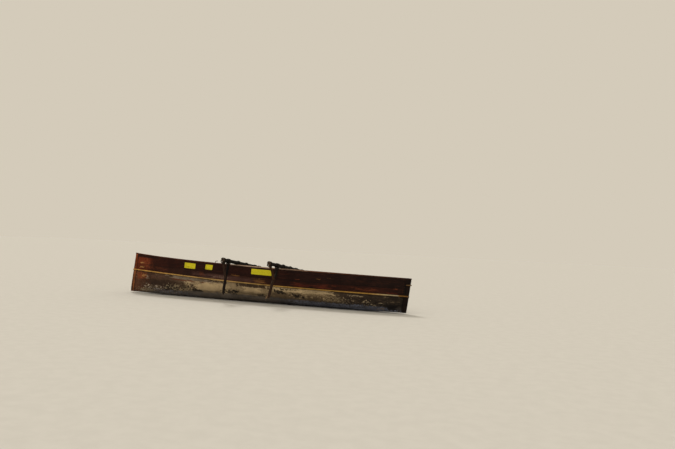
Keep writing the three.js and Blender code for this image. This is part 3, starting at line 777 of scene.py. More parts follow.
def batten_paint(tree, colour):
    """Straw-coloured batten, with painted shadow along its lower edge."""
    x, height, _ = tree.split("zone")
    straw = tree.hull_ramp(
        x, (-HALF, 214, 160, 84), (-2.6, 196, 148, 76), (-1, 188, 152, 96), (1, 176, 136, 68),
        (2.45, 166, 126, 60), (2.78, 178, 158, 118), (3.02, 184, 168, 136), (3.06, 160, 116, 56),
        (HALF, 130, 92, 46))
    # Painted shadow along the batten's lower edge, made ragged by the blotches.
    batten_shadow = height + (tree.blotch - 0.5) * 0.012
    return tree.laid(
        straw,
        (tree.blotch.step(0.54, 0.68, 0, 0.55), (118, 84, 46)),
        (batten_shadow.step(-0.01, -0.006, 0.95, 0), (24, 17, 14)))


def rail_paint(tree, colour):
    """Rubbed rails: greyish pink where they are worn most, palest between the booms, and there and at the bow
    a painted highlight along the top strip; painted shade on their lower part at the bow.
    """
    x, _, outer = tree.split("zone")
    # Worn paint along the hull; the pale stretch between the booms and the warm bow also carry painted
    # highlight.
    side = tree.hull_ramp(
        x + (tree.noise(2, 4, 0.65) - 0.5) * 0.4, (-HALF, 150, 86, 54), (-2.6, 128, 74, 48),
        (-2.2, 84, 42, 27), (-0.75, 82, 44, 30), (-0.55, 184, 158, 138), (0.9, 176, 146, 124),
        (1.15, 120, 76, 50), (2, 88, 52, 35), (HALF, 58, 35, 25))
    # Where the rails are worn, and where a painted highlight falls along their top.
    lightened = x.band(-1.25, 1.1, 0.15).most(x.step(-2.6, -3, 0, 0.8))
    return tree.laid(
        side,
        (tree.fibres.step(0.55, 0.35, 0, 0.55), (48, 28, 20)),
        # Painted shade on the rail's lower part at the bow.
        (outer.step(0.6, 0.2) * x.step(-2.1, -2.6, 0, 0.75), (40, 22, 15)),
        (lightened * outer * tree.blotch.step(0.4, 0.6, 0.15, 0.55), (150, 128, 112)))


def pole_wood(name, prong_out, prong_in, stem):
    """Old poles, dark with weather. A strut's two prongs and its stem have tones of their own."""
    def paint(tree, colour):
        outer_share, stem_share, _ = tree.split("zone")
        bark = tree.noise((9, 50, 50), 4, 0.75)
        return tree.laid(
            tree.mix(outer_share.step(0.15, 0.85), prong_in, prong_out),
            (stem_share.step(0.2, 0.9), stem),
            (bark.step(0.54, 0.72, 0, 0.15), colour),
            (bark.step(0.46, 0.32, 0, 0.7), (12, 10, 9)))
    return wood(name, (62, 47, 38), (92, 73, 57), (96, 78, 62), paint, 60, 0.0025, 0.14)


def rope_material():
    """Laid rope: three strands that wind round, hairy and grey with age, with painted shade in the grooves
    between them.
    """
    tree = Tree("rope")
    run, a, b = tree.split("grain")
    strand = abs(tree.math("SINE", run * 210 + tree.math("ARCTAN2", b, a) * 1.5))
    fuzz = tree.noise(900, 3, 0.7)
    colour = tree.laid(
        tree.mix(tree.noise(9).step(0.35, 0.65), (25, 21, 18), (50, 42, 35)),
        # Painted shade in the grooves between the strands.
        (strand.step(0, 0.55, 0.75, 0), (16, 13, 11)),
        (fuzz.step(0.45, 0.7, 0, 0.25), (76, 66, 54)))
    return tree.finish(colour, fuzz.step(0.3, 0.7, 0.8, 0.98), strand + fuzz * 0.3, 0.0012)


def iron_material():
    """Iron with old rust: dark scale, brown bloom and pits."""
    tree = Tree("rusted_iron")
    bloom = tree.noise(70, 5, 0.7)
    pits = tree.noise(320, 3, 0.7)
    colour = tree.ramp(bloom, (0.3, 40, 30, 27), (0.5, 86, 50, 34), (0.68, 132, 78, 46))
    colour = tree.mix(pits.step(0.58, 0.7, 0, 0.7), colour, (28, 20, 18))
    return tree.finish(colour, bloom.step(0.3, 0.7, 0.55, 0.95), bloom + pits * 0.5, 0.0008, 0.25)


LOG_WOOD = wood("log_wood", (92, 78, 62), (146, 128, 102), (160, 142, 116), log_paint, relief=0.003, wear=0)
PLANK_WOOD = wood("plank_wood", (70, 50, 38), (104, 80, 60), (92, 64, 48), plank_paint, wear=0)
POST_WOOD = wood("post_wood", (62, 42, 31), (92, 68, 50), (120, 84, 58), post_paint, wear=0)
BATTEN_WOOD = wood("batten_wood", (112, 90, 60), (158, 134, 94), (186, 156, 106), batten_paint, wear=0)
RAIL_WOOD = wood("rail_wood", (90, 68, 54), (130, 108, 90), (150, 124, 104), rail_paint, wear=0)
INSIDE_WOOD = wood("inside_wood", (86, 70, 54), (138, 118, 92), (168, 150, 122))
POLES = {
    "fore": pole_wood("black_pole", (50, 35, 27), (15, 13, 13), (26, 20, 19)),
    "aft": pole_wood("brown_pole", (66, 43, 27), (27, 20, 17), (54, 37, 27)),
}
FLOAT_WOOD = wood("float_wood", (92, 78, 62), (146, 130, 106), (170, 154, 130), across=30, relief=0.003)
BARE_WOOD = wood("bare_wood", (56, 40, 24), (92, 68, 42), (106, 82, 54))
SPLIT_WOOD = wood("split_wood", (96, 70, 50), (148, 114, 84), (158, 126, 96))
ROPE_FIBRE = rope_material()
IRON = iron_material()


# The hull

POST_FACE = 1 - POST["length"] / HALF
BAY = 0.022  # between rings along the hull
LOG_POINTS = {"outer": 30, "inner": 24, "post": 26}


def stations(start, end):
    return np.linspace(start, end, max(3, round((end - start) * HALF / BAY) + 1))


def trough(breadth, bottom, top, curve, count):
    """Half of a rounded trough from its bottom to its top edge, at even steps round it."""
    angle = np.linspace(0, math.pi / 2, 90)
    wide, deep = (wave(angle) ** (2 / curve) for wave in (np.sin, np.cos))
    return evenly(np.stack([breadth * wide, mix(top, bottom, deep)], -1), count)


def log_half(t, count):
    curve = mix(LOG_ROUND["middle"], LOG_ROUND["end"], t ** 4)
    return trough(log_breadth(t), keel(t), log_top(t), curve, count)


def mirrored(half):
    """From the port top edge down round the keel and up to the starboard one."""
    return np.concatenate([half[:0:-1] * (-1, 1), half])


def hull_rings(ts, sections):
    """Rings of the hull from sections of [y, z]."""
    sections = np.asarray(sections)
    return place(ts[:, None], sections[..., 0], sections[..., 1])


def hull_zones(ts, rings, outer):
    """x, height above the log's top edge, and how far each point is on an outer face."""
    height = rings[..., 2] - log_top(ts)[:, None]
    return np.stack(np.broadcast_arrays(HALF * ts[:, None], height, outer), -1)


def cornered(corners):
    """Corners of [y, z] along the hull, as rings by corners by two."""
    return np.stack([np.stack(np.broadcast_arrays(*corner), -1) for corner in corners], 1)


def bar(ts, foot, head, low, high, radius, steps):
    """Rings of a bar along the middle of the hull, from its half breadths and heights below and above."""
    corners = cornered([(-foot, low), (foot, low), (head, high), (-head, high)])
    return hull_rings(ts, rounded(corners, radius, steps))


def build_log():
    ts = stations(-POST_FACE + GAP / HALF, POST_FACE - GAP / HALF)
    sections = []
    for t in ts:
        top, edge = log_top(t), log_breadth(t)
        to_end = max(0, (abs(t) - HOLLOW["end"] + HOLLOW["round"]) / HOLLOW["round"])
        opening = math.sqrt(max(0, 1 - to_end ** 2))
        breadth = (edge - LOG_LEDGE) * mix(HOLLOW["least"], 1, opening)
        rim = HOLLOW["rim"] * opening
        bottom = mix(top - 0.4 * MM, LOG_FLOOR, opening)
        hollow = trough(breadth, bottom, top - rim, LOG_ROUND["middle"], LOG_POINTS["inner"])
        shelf = [[mix(breadth + rim, edge, part), top] for part in (0, 0.4, 0.8)]
        half = np.concatenate([hollow, [[breadth + rim * 0.3, top - rim * 0.3]], shelf])
        sections.append(np.concatenate([mirrored(log_half(t, LOG_POINTS["outer"])), mirrored(half)[::-1]]))
    rings = hull_rings(ts, sections)
    count = 2 * LOG_POINTS["outer"] - 1
    skin, pit = rings[:, :count], rings[:, count:]
    carved = scoops(skin, (9, 22, 22), 0.0022) + waves(skin, (1.6, 5, 5), 0.0016, 4) + 0.0012
    carved += splits(skin, (1.1, 13, 13), 0.005, 9, 0.05, (0.9, 2, 2), 2, 4)
    low = np.clip((log_top(ts)[:, None] - 0.012 - pit[..., 2]) / 0.03, 0, 1)
    depth = np.concatenate([carved, low * scoops(pit, (11, 15, 15), 0.005, 5)], 1)
    depth[:, [0, count - 1]] = 1.5 * MM
    zone = hull_zones(ts, rings, np.arange(rings.shape[1]) < count)
    Shape().add(inset(rings, depth), rings, zone, 0.003).build("dugout_log", LOG_WOOD, "log", "dugout", 50)


def board_lengths(butts, end=POST_FACE, slack=GAP / 2 / HALF):
    stops = [-end, *(x / HALF for x in butts), end]
    return [stations(a + slack, b - slack) for a, b in zip(stops, stops[1:])]


def seam(t):
    return mix(log_top(t), rail_under(t), SEAM)


def board_section(t, low, high):
    return [(wall(t, low), low), (wall(t, high), high), (inside(t, high), high), (inside(t, low), low)]


def lower_section(t):
    return board_section(t, log_top(t) - MM, seam(t))


def upper_section(t):
    return board_section(t, seam(t), rail_under(t))


def batten_section(t):
    low, high = log_top(t) - BATTEN["height"] / 2, log_top(t) + BATTEN["height"] / 2
    foot, head, thick = log_breadth(t) + GAP, wall(t, high) + GAP, BATTEN["thickness"]
    return [(foot + thick, low), (head + thick, high), (head, high), (foot, low)]


def rail_section(t):
    outer = rail_breadth(t) + RAIL["proud"]
    inner = np.maximum(outer - RAIL["width"], GAP / 2)
    return [(outer, rail_under(t)), (outer, rail_top(t)), (inner, rail_top(t)), (inner, rail_under(t))]


def side_piece(side, ts, section, radius, steps, worn, ease, seed):
    """A long piece along a side of the hull. section(t) gives its corners, outer bottom first. Wear spares
    the edges of planks and the underside of rails, where they meet others."""
    corners = cornered(section(ts))
    flat = rounded(corners, radius, steps)
    rings = hull_rings(ts, flat * (side, 1))
    height, low, top = flat[..., 1], corners[..., 1].min(1)[:, None], corners[..., 1].max(1)[:, None]
    outer = flat[..., 0] > corners[..., 0].mean(1)[:, None]
    shut = np.minimum(height - low, top - height)
    # On a rail the outer share is its top strip, where the rail paint lays a painted highlight.
    if section is rail_section:
        outer, shut = np.clip((height - top + 0.008) / 0.006, 0, 1), height - low
    rough = waves(rings, (5, 9, 9), worn / 2, seed) + dents(rings, (34, 60, 60), worn, seed)
    if section is not batten_section:
        rough *= np.clip(shut / 0.012, 0, 1)
    return Shape().add(inset(rings, rough), rings, hull_zones(ts, rings, outer), ease)


def build_sides():
    for name, side in SIDES.items():
        for part, section, rows, seed in (("lower", lower_section, 5, 0), ("upper", upper_section, 8, 5)):
            for i, ts in enumerate(board_lengths(BUTTS[part])):
                node, steps = f"{name}_{part}_strake_{i + 1}", (rows, 1, rows, 1)
                made = side_piece(side, ts, section, 0.0035, steps, 0.0016, 0.002, 3 * i + seed + side)
                made.build(f"{node}_board", PLANK_WOOD, "strake", node)
        made = side_piece(side, stations(-1, 1), batten_section, 0.004, (2, 1, 1, 1), 0.0022, 0.004, 11)
        made.build(f"{name}_straw_batten", BATTEN_WOOD, "batten", f"{name}_batten")
        for part, ts in zip(("fore", "aft"), board_lengths(BUTTS["rail"], 1)):
            made = side_piece(side, ts, rail_section, 0.005, (1, 3, 1, 2), 0.0024, 0.003, 17)
            made.build(f"{name}_rail_{part}_wood", RAIL_WOOD, "rail", f"{name}_rail_{part}")


def build_post(end, sign):
    """A stem post: the hull's whole section with a rounded nose, and a tongue between the planks."""
    chamfer = 1 - POST["chamfer"] / HALF
    straight, turned = np.linspace(POST_FACE, chamfer, 9), np.sin(np.linspace(0, math.pi / 2, 8))[1:]
    ts = np.concatenate([straight, mix(chamfer, 1, turned)]) * sign
    widths = np.concatenate([np.ones(len(straight)), mix(1, POST["nose"], 1 - np.sqrt(1 - turned ** 2))])
    sections = []
    for t, width in zip(ts, widths):
        half = log_half(t, LOG_POINTS["post"])
        top = np.array([rail_breadth(t), rail_under(t) + MM / 2])
        side = mix(half[-1], top, np.linspace(0, 1, 18)[1:, None])
        sections.append(mirrored(np.concatenate([half, side])) * (width, 1))
    rings = hull_rings(ts, sections)
    foot = np.clip((0.07 - rings[..., 2]) / 0.05, 0, 1)
    foot *= np.clip((np.abs(rings[..., 0]) - HALF + 0.05) / 0.03, 0, 1)
    rough = waves(rings, (9, 30, 6), 0.0007, sign * 4) + foot * scoops(rings, (30, 20, 34), 0.006, sign * 7)
    shape = Shape().add(inset(rings, rough + 0.4 * MM), rings[..., ::-1], hull_zones(ts, rings, 1))
    ts = np.linspace(POST_FACE - POST["tongue"] / HALF, (POST_FACE + 1) / 2, 8) * sign
    low, high = log_top(ts) + GAP, rail_under(ts) - DECK["thickness"] - 2 * GAP
    foot, head = inside(ts, low) - POST["clear"], inside(ts, high) - POST["clear"]
    rings = bar(ts, foot, head, low, high, 0.004, (2, 6, 2, 6))
    shape.add(rings, rings[..., ::-1], hull_zones(ts, rings, 0))
    shape.build(f"{end}_stem_post", POST_WOOD, "post", f"{end}_post", 50)


def cross_board(node, kind, x, board, feet, reaches, count, radius, steps, pace, ease, sag=0):
    """A board across the hull. feet are the heights of its underside at its fore and aft edge, and reaches
    its half lengths there. A board that sags is worn on top only."""
    (start, end), thick = either_side(x, board["width"]), board["thickness"]
    outline = rounded(np.array([[[start, 0], [end, 0], [end, thick], [start, thick]]]), radius, steps)[0]
    part, height = (outline[:, 0] - start) / board["width"], outline[:, 1]
    share = np.linspace(-1, 1, count)[:, None]
    z = mix(*feet, part) + height - sag * (1 - share ** 2) * (height > thick / 2)
    rings = np.stack(np.broadcast_arrays(outline[:, 0], share * mix(*reaches, part), z), -1)
    rough = waves(rings, (pace, 5, pace), 0.0009, x)
    if sag:
        rough *= height >= thick / 2
    shape = Shape().add(inset(rings, rough), rings[..., [1, 0, 2]] + x, ease=ease)
    shape.build(f"{node}_{kind}", INSIDE_WOOD, "inside", node)


def softened(corners, radius):
    """Rings of a bar with rounded edges and a slightly uneven face, and its grain."""
    rings = rounded(corners, radius)
    return inset(rings, waves(rings, 24, 0.0004)), rings


def build_cleat(node, side, x, top):
    """An upright behind the planks, which follows their slope."""
    ts = either_side(x, CLEAT["width"]) / HALF
    z = mix(log_top(ts) + GAP, np.minimum(top, rail_under(ts) - GAP), np.linspace(0, 1, 14)[:, None])
    near = np.stack(np.broadcast_arrays(ts * HALF, inside(ts, z) - FIT, z), -1)
    corners = np.concatenate([near, near[:, ::-1] - (0, CLEAT["thickness"], 0)], 1) * (1, side, 1)
    made, grain = softened(corners, 0.004)
    shape = Shape().add(made, grain[..., [2, 0, 1]] + x, ease=0.002)
    shape.build(f"{node}_post", INSIDE_WOOD, "inside", node)


def build_deck(end, sign):
    start = POST_FACE - GAP / HALF
    ts = np.linspace(start - DECK["length"] / HALF, start, 26) * sign
    high = rail_under(ts) - GAP
    low = high - DECK["thickness"]
    half = inside(ts, low) - GAP
    rings = bar(ts, half, half, low, high, 0.003, (8, 1, 8, 1))
    shape = Shape().add(inset(rings, waves(rings, (5, 18, 18), 0.0008, sign * 2)), rings + sign, ease=0.003)
    shape.build(f"{end}_deck_board", INSIDE_WOOD, "inside", f"{end}_deck")


def build_inside():
    for name, x in THWART["places"].items():
        ts = either_side(x, THWART["width"]) / HALF
        feet = log_top(ts) + GAP
        cross_board(f"{name}_thwart", "seat", x, THWART, feet, inside(ts, feet) - FIT, 28, 0.006,
                    (9, 1, 9, 1), 16, 0.003, 0.004)
    for name, x in BOOM_PLACES.items():
        foot = beam_top(x) - BEAM_BOARD["thickness"]
        reach = inside(either_side(x, BEAM_BOARD["width"]) / HALF, foot).min() - FIT
        cross_board(f"{name}_beam", "board", x, BEAM_BOARD, (foot, foot), (reach, reach),
                    round(2 * reach / 0.02), 0.004, (4, 1, 4, 1), 14, 0.002)
    for name, side in SIDES.items():
        for i, x in enumerate(CLEAT["places"]):
            build_cleat(f"{name}_cleat_{i + 1}", side, x, math.inf)
        for boom, x in BOOM_PLACES.items():
            build_cleat(f"{name}_{boom}_boom_cleat", side, x, beam_top(x) - BEAM_BOARD["thickness"] - GAP)
    for end, sign in ENDS.items():
        build_deck(end, sign)


# Booms, struts and float


def build_boom(name):
    x, reach, high = BOOM_PLACES[name], BOOM_REACH[name], boom_height(BOOM_PLACES[name])
    part, thick, aft, up = np.array(BOOM_LINE).T * [[1], [MM], [MM], [MM]]
    line = smooth_line(np.stack([x + aft, part * reach, high + up], -1), 0.014)
    rings, grain = rod(line, np.interp(line[:, 1] / reach, part, thick), 40)
    y, on_top = rings[..., 1], rings[..., 2] > high - 0.02
    knots = sum(np.exp(-((y - knot) / 0.03) ** 2) * dents(rings, (12, 9, 12), 0.002, knot * 9)
                for knot in BOOM_KNOTS)
    rough = waves(rings, (14, 3, 14), 0.0012, x) + dents(rings, (70, 9, 70), 0.0012, x + 3)
    rough *= mix(0.4, 1, np.clip((np.abs(y) - 0.34) / 0.05, 0, 1))
    shape = Shape().add(inset(rings, rough - knots * on_top), grain + x, ease=0.004)
    shape.build(f"{name}_boom_pole", POLES[name], "pole", f"{name}_boom", 50)


def stretch_to(origin, goal, distance):
    """The point at a distance from one point on the way to another."""
    origin, goal = np.array(origin), np.array(goal)
    return tuple(origin + (goal - origin) * distance / np.linalg.norm(goal - origin))


def limb(points, radii):
    """A round stick in straight runs between points, with the radius at each of them."""
    points = np.array(points)
    line = spaced(points, 0.008)
    run = lengths(line)
    return line, np.interp(run, [run[np.argmin(np.linalg.norm(line - p, axis=1))] for p in points], radii)


MELT = {"voxel": 0.005, "passes": 6, "blend": 0.012, "swell": 0.0024}


def melted(name, lines, seed):
    """Limbs melted into one skin, with bark and a grain that follows each of them."""
    shape = Shape()
    for line, radii in lines:
        shape.add(*rod(line, radii, 24))
    mesh = meshed("rough", np.concatenate(shape.points), shape.faces)
    rough = linked("rough", mesh)
    melt = rough.modifiers.new("melt", "REMESH")
    melt.mode, melt.voxel_size = "VOXEL", MELT["voxel"]
    soften = rough.modifiers.new("soften", "SMOOTH")
    soften.iterations, soften.factor = MELT["passes"], 0.5
    bpy.context.view_layer.update()
    whole = bpy.data.meshes.new_from_object(rough.evaluated_get(bpy.context.evaluated_depsgraph_get()))
    bpy.data.objects.remove(rough)
    bpy.data.meshes.remove(mesh)
    whole.name = name
    whole.materials.clear()
    points, facing = read(whole.vertices, "co"), read(whole.vertex_normals, "vector")
    count = len(points)
    grain, best, shares = np.zeros((count, 3)), np.full(count, np.inf), []
    for number, (line, radii) in enumerate(lines):
        first, second = frames(line, np.array(LENGTHWAYS))
        gaps = np.linalg.norm(points[:, None] - line[None], axis=2)
        near = gaps.argmin(1)
        closest = gaps[np.arange(count), near] - radii[near]
        away = points - line[near]
        run = near * np.linalg.norm(line[1] - line[0]) + number
        own = np.stack([run, (away * first[near]).sum(1), (away * second[near]).sum(1)], 1)
        better = closest < best
        grain[better], best[better] = own[better], closest[better]
        shares.append(np.exp(-np.maximum(closest, 0) / MELT["blend"]))
    bark = waves(points, 26, 0.0007, seed) + dents(points, (80, 80, 14), 0.0012, seed)
    whole.vertices.foreach_set("co", settle(points + facing * (MELT["swell"] - bark[:, None])).ravel())
    whole.update()
    outer, inner, stem, tenon = shares
    zone = [outer / (outer + inner), (stem + tenon) / sum(shares), np.zeros(count)]
    keep(whole, "grain", grain + seed)
    keep(whole, "zone", np.stack(zone, -1))
    return whole


def build_fork(side_name, boom):
    side, x, thick = SIDES[side_name], BOOM_PLACES[boom], STEM["radius"]
    *prongs, (crotch, knee, tip), tenon = FORKS[side_name, boom]
    below, shoulder = stretch_to(crotch, knee, thick), stretch_to(tip, knee, tenon)
    limbs = [([(top, boom_height(x) - 0.012), bend, crotch, below], [PRONG] * 4) for top, bend in prongs]
    stem = [stretch_to(crotch, knee, -thick), crotch, knee, shoulder]
    limbs.append((stem, [PRONG, thick, thick, STEM["foot"]]))
    limbs.append(([stretch_to(shoulder, knee, thick), tip], [TENON["radius"], TENON["end"]]))
    lines = [limb([(x, side * y, z) for y, z in stops], radii) for stops, radii in limbs]
    node = f"{side_name}_{boom}_fork"
    finish_piece(melted(f"{node}_strut", lines, x + side), POLES[boom], node, 60)


def build_float():
    low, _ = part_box("float")
    radius, y, up = FLOAT["radius"] * FLATS, FLOAT["place"], np.array([0, -math.sin(HEEL), math.cos(HEEL)])
    ground = (low.z - OFFSET[2] + radius + y * math.sin(HEEL)) / math.cos(HEEL)
    points = [np.array([x * MM, y, ground]) + up * rise * FLOAT["upturn"] for x, _, rise in FLOAT_LINE]
    line = smooth_line(points, 0.018)
    xs, shares, _ = np.array(FLOAT_LINE).T
    rings, grain = rod(line, np.interp(line[:, 0], xs * MM, shares * radius), 56, CROSSWAYS)
    carved = scoops(rings, (8, 30, 30), 0.002, 3) + waves(rings, (2.5, 8, 8), 0.0018, 8)
    carved += splits(rings, (1.6, 22, 22), 0.006, 1, 0.06, (1.2, 3, 3), 6, 3)
    shape = Shape().add(inset(rings, carved), grain, ease=0.006)
    shape.build("outrigger_float", FLOAT_WOOD, "float", "float", 50)


# Rope, iron and small things


def rope(line):
    line = spaced(line, 0.006)
    return rod(line, round_end(line, ROPE / 2, ROPE / 2), 7, (0.3, 0.2, 0.9))


def lashing_loop(radius, high, low):
    """Once round a boom and the board under it, seen along the boom, as [x, z]."""
    over = np.linspace(0, math.pi, 16)
    arch = np.stack([radius * np.cos(over), high + radius * np.sin(over)], -1)
    corner, side = 0.012, BEAM_BOARD["width"] / 2 + ROPE / 2 + 0.0012
    left = np.array([[-radius, mix(high, low, 0.5)], [-side, low + corner * 1.5], [-side + corner, low]])
    return spaced(np.concatenate([arch, left, left[::-1] * (-1, 1), arch[:1]]), 0.006)


def knot_line(x, y, z):
    """A reef knot's bight, pulled tight on the rope's top."""
    angle = np.linspace(0, 3 * math.pi, 40)
    return np.stack([x + 0.014 * np.sin(angle) * np.cos(angle * 0.3), y + 0.02 * np.cos(angle * 0.66),
                     z - 0.004 + 0.002 * np.cos(angle * 2)], -1)


def build_lashings():
    turns, radius = round(LASHING["width"] / ROPE) - 1, BOOM + ROPE / 2
    for boom, x in BOOM_PLACES.items():
        high, low = boom_height(x), beam_top(x) - BEAM_BOARD["thickness"] - ROPE / 2
        loop = lashing_loop(radius, high, low)
        run = np.arange(turns * len(loop)) / len(loop) * ROPE - (LASHING["width"] - ROPE) / 2
        for side_name, side in SIDES.items():
            middle = side * LASHING["place"]
            across, up = np.tile(loop, (turns, 1)).T
            shape = Shape().add(*rope(np.stack([x + across, middle + run, up], -1)))
            shape.add(*rope(knot_line(x, middle, high + radius + ROPE * 0.6)))
            node = f"{boom}_boom_{side_name}_lashing"
            shape.build(f"{node}_rope", ROPE_FIBRE, "rope", node, 60)


def crossing(top, high, down, cross, slant, k, reach):
    """A slanting turn over the boom and round the prong below it."""
    round_boom, round_prong = BOOM * FLATS + ROPE / 2 + 0.0004, PRONG + ROPE / 2
    y = min(top + slant * (0.004 + k * ROPE * 0.95), reach - ROPE)
    front = (top, high) + down * (BOOM * 0.35) - cross * (slant * 0.01 * (k + 1))
    low, out = (top, high) + down * (BOOM + 0.016 + k * ROPE), cross * round_prong * slant
    half = [
        (0, y, high + round_boom),
        (-round_boom * 0.72, y + slant * 0.002, high + round_boom * 0.7),
        (-round_boom * 1.02, mix(y, front[0], 0.5), high),
        (-round_boom * 0.9, front[0] - slant * 0.006, front[1] - 0.012),
        (-round_prong * 0.9, *(low - out * 0.5)),
        (0, *(low - out * 1.02)),
    ]
    points = np.array(half + [(-x, *at) for x, *at in half[-2::-1]])
    points[:, 1] = np.minimum(points[:, 1], reach - ROPE * 0.6)
    return smooth_line(points, 0.006)


def tie_lines(top, bend, high, reach):
    """The ropes that tie a prong to its boom, with x from the boom's middle and y outwards: turns round the
    boom on each side of the prong, turns round the prong, and slanting turns over both."""
    around, thick, limit = BOOM * FLATS + ROPE / 2 - MM, PRONG + ROPE / 2 - 1.5 * MM, reach - ROPE
    angle = np.linspace(0, 2 * 2 * math.pi, 96)
    for edge in (-1, 1):
        start = top + edge * (PRONG + ROPE * 0.55)
        if start + edge * ROPE <= limit:
            y = np.minimum(start + edge * ROPE * 0.8 * angle / (2 * math.pi), limit)
            yield np.stack([around * np.sin(angle), y, high - around * np.cos(angle)], -1)
    down = unit(np.array([bend[0] - top, bend[1] - high]))
    cross = np.array([-down[1], down[0]])
    angle = np.linspace(0, 5 * 2 * math.pi, 200)[:, None]
    flat = (top, high) + (BOOM + 0.01 + ROPE * 0.95 * angle / (2 * math.pi)) * down
    yield np.concatenate([thick * np.sin(angle), flat + thick * np.cos(angle) * cross], 1)
    for slant in (-1, 1):
        for k in range(3):
            yield crossing(top, high, down, cross, slant, k, reach)


def build_ties():
    for (side_name, boom), fork in FORKS.items():
        x = BOOM_PLACES[boom]
        for prong, (top, bend) in zip(PRONGS, fork):
            shape = Shape()
            for line in tie_lines(top, bend, boom_height(x), BOOM_REACH[boom]):
                shape.add(*rope(line * (1, SIDES[side_name], 1) + (x, 0, 0)))
            node = f"{side_name}_{boom}_{prong}_tie"
            shape.build(f"{node}_rope", ROPE_FIBRE, "rope", node, 60)


def build_hook():
    t = HOOK["place"] / HALF
    foot = np.array([HOOK["place"], RAIL["width"] / 4 - rail_breadth(t), rail_top(t)])
    line = smooth_line([foot + (aft * HOOK["reach"], 0, up * HOOK["rise"]) for aft, up in HOOK_LINE], 0.002)
    rings, grain = rod(line, round_end(line, HOOK["radius"], 0.004), 20, CROSSWAYS)
    shape = Shape().add(inset(rings, waves(rings, 160, 0.0004)), grain)
    shape.build("hook_of_rusted_rod", IRON, "iron", "rail_hook", 60)


def build_stern_cleat():
    """A horned cleat on a foot, on the stern post's port face."""
    half, height = STERN_CLEAT["length"] / 2, STERN_CLEAT["height"]
    middle = HALF + STERN_CLEAT["aft"] - half
    face = -rail_breadth(middle / HALF)
    off, parts = face - STERN_CLEAT["off"], np.linspace(-1, 1, len(HORN))
    line = smooth_line([(middle + part * half, off, height) for part in parts], 0.003)
    radii = np.interp(line[:, 0] - middle, parts * half, HORN)
    rings, grain = rod(line, round_end(line, radii, 0.006), 24, CROSSWAYS)
    shape = Shape().add(inset(rings, waves(rings, 70, 0.0004)), grain)
    fore, aft = either_side(middle, STERN_CLEAT["foot"])
    low, high = either_side(height, STERN_CLEAT["rise"])
    corners = [[(fore, y, low), (aft, y, low), (aft, y, high), (fore, y, high)]
               for y in np.linspace(off, face - MM / 2, 8)]
    shape.add(*softened(np.array(corners), 0.003), ease=0.001)
    shape.build("stern_horned_cleat", BARE_WOOD, "peg", "stern_cleat", 50)


def build_splinter():
    """A long strip of bare wood, split off beside the foot of the port aft strut."""
    ends = np.array([SPUR["top"], SPUR["tip"]]) * (1, SIDES["port"], 1) + (BOOM_PLACES["aft"], 0, 0)
    line = spaced(ends, 0.003)
    parts = np.linspace(0, 1, len(line))
    taper = np.minimum(1, 0.3 + 1.6 * parts) * np.minimum(1, 0.6 + 8 * (1 - parts))
    rings, grain = rod(line, mix(SPUR["radius"], SPUR["end"], parts) * taper, 18)
    shape = Shape().add(inset(rings, dents(rings, (130, 130, 14), 0.0034) + 0.0002), grain)
    shape.build("port_aft_splinter", SPLIT_WOOD, "pole", sharp=40)


def spot_on(side, breadth, x, z):
    """A point on the outer face of a side, where breadth(t, z) is its y, and the way it faces there."""
    t, z = np.array([x, x + 0.01, x]) / HALF, np.array([z, z, z + 0.01])
    spot, aft, above = place(t, side * breadth(t, z), z)
    facing = unit(np.cross(aft - spot, above - spot))
    return spot, facing * np.sign(facing[1] * side)


def nail(shape, spot, facing, radius):
    """A nail's domed head, with its shank side sunk in the worn wood."""
    across = unit(np.cross(facing, (0.9, 0.1, 0.3)))
    disc = circle(10) @ np.array([across, np.cross(facing, across)])
    shape.add(np.stack([spot + facing * depth + disc * radius * part for depth, part in NAIL]))


def batten_face(t, z):
    return log_breadth(t) + BATTEN["thickness"] + GAP


def build_nails():
    """Iron nails: along the batten and rails, at the butts of the planks, and where they meet the posts."""
    near = NAILS["inward"][0]
    ends = [sign * (POST_FACE * HALF - inward) for sign in (-1, 1) for inward in NAILS["inward"]]
    for name, side in SIDES.items():
        made = {"plank": Shape(), "batten": Shape(), "rail": Shape()}
        for i, x in enumerate(np.arange(*NAILS["along"])):
            t = (x + 0.02 * math.sin(i * 5.1)) / HALF
            z = log_top(x / HALF) + 0.004 * math.sin(i * 2.3)
            nail(made["batten"], *spot_on(side, batten_face, t * HALF, z), NAILS["small"])
            if all(abs(x - boom) > NAILS["clear"] for boom in BOOM_PLACES.values()):
                top = place(t, side * (rail_breadth(t) - RAIL["width"] / 3), rail_top(t) - 0.0012)
                nail(made["rail"], top, np.array([0.0, 0.0, 1.0]), NAILS["small"])
        for part, low, high, count in (("lower", log_top, seam, 3), ("upper", seam, rail_under, 4)):
            for x in ends + [x + off for x in BUTTS[part] for off in (-near, near)]:
                for k in range(count):
                    z = mix(low(x / HALF), high(x / HALF), (k + 0.7) / (count + 0.4))
                    z += 0.004 * math.sin(x * 40 + k * 3.3)
                    spot, facing = spot_on(side, wall, x + 0.002 * math.sin(k * 4.7 + x), z)
                    nail(made["plank"], spot, facing, NAILS["large"])
        for part, shape in made.items():
            shape.build(f"{name}_{part}_nails", IRON, "iron", sharp=50)


build_log()
build_sides()
for end_name, way in ENDS.items():
    build_post(end_name, way)
build_inside()
for boom_name in BOOM_PLACES:
    build_boom(boom_name)
for side_key, boom_key in FORKS:
    build_fork(side_key, boom_key)
build_float()
build_lashings()
build_ties()
build_hook()
build_stern_cleat()
build_splinter()
build_nails()


# Floor, light and camera

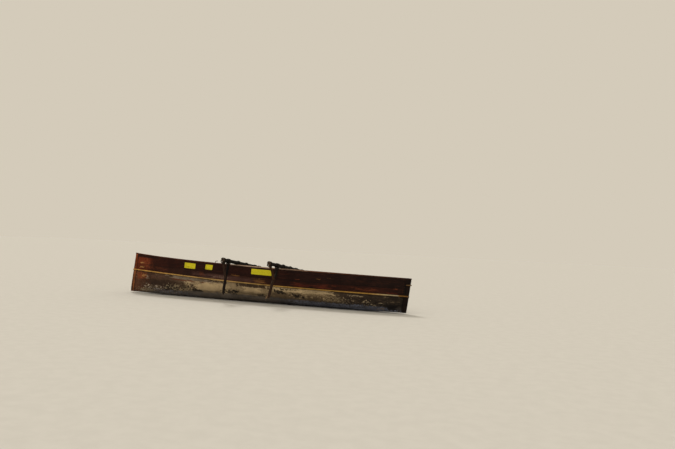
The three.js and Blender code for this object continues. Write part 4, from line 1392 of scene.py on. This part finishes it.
FLOOR = {"half": 60, "points": 61}
SKY = {"colour": (0.94, 0.853, 0.701, 1.0), "strength": 0.7}
CAMERA = {"place": (6.1587, -12.8207, 1.4031), "forward": (-0.33276, 0.94274, 0.02272),
          "right": (0.94239, 0.33156, 0.04436), "lens": 35.227, "sensor": 36, "far": 200}


def build_floor():
    ticks = np.linspace(-FLOOR["half"], FLOOR["half"], FLOOR["points"])
    index = np.arange(len(ticks) ** 2).reshape(len(ticks), -1)
    faces = np.stack([index[:-1, :-1], index[:-1, 1:], index[1:, 1:], index[1:, :-1]], -1).reshape(-1, 4)
    y, x = np.meshgrid(ticks, ticks, indexing="ij")
    mesh = meshed("floor", np.stack([x, y, np.zeros_like(x)], -1).reshape(-1, 3), faces.tolist())
    tree = Tree("pale_floor")
    spot = tree.put("TexCoord", {}, "Object")
    drift, grit = tree.noise(6, 4, 0.6, spot=spot), tree.noise(160, 3, 0.7, spot=spot)
    colour = tree.mix(drift.step(0.3, 0.7), (202, 200, 195), (206, 204, 199))
    mesh.materials.append(tree.finish(colour, 0.95, grit, 0.002))
    linked("floor", mesh)


def build_sun(name, toward, spread, strength, colour):
    """Soft light from one side; toward points from the canoe to the light."""
    data = bpy.data.lights.new(name, "SUN")
    data.angle, data.energy, data.color = math.radians(spread), strength, colour
    linked(name, data).rotation_euler = Vector(toward).to_track_quat("Z", "Y").to_euler()


def build_camera():
    data = bpy.data.cameras.new("camera")
    data.lens, data.sensor_width, data.clip_end = CAMERA["lens"], CAMERA["sensor"], CAMERA["far"]
    right, forward = Vector(CAMERA["right"]), Vector(CAMERA["forward"])
    columns = right, right.cross(forward), -forward, Vector(CAMERA["place"])
    camera = linked("camera", data)
    camera.matrix_world = Matrix([[column[i] for column in columns] for i in range(3)] + [[0, 0, 0, 1]])
    bpy.context.scene.camera = camera


build_floor()
build_sun("key", (-0.55, 0.62, 1.0), 14, 1.5, (1.0, 0.95, 0.87))
build_sun("fill", (0.35, -1.0, 0.7), 70, 0.35, (0.95, 0.97, 1.0))
build_camera()
world = bpy.data.worlds.new("studio")
world.use_nodes = True
background = world.node_tree.nodes["Background"]
background.inputs[0].default_value, background.inputs[1].default_value = SKY["colour"], SKY["strength"]
bpy.context.scene.world = world
bpy.context.scene.view_settings.view_transform = "Standard"
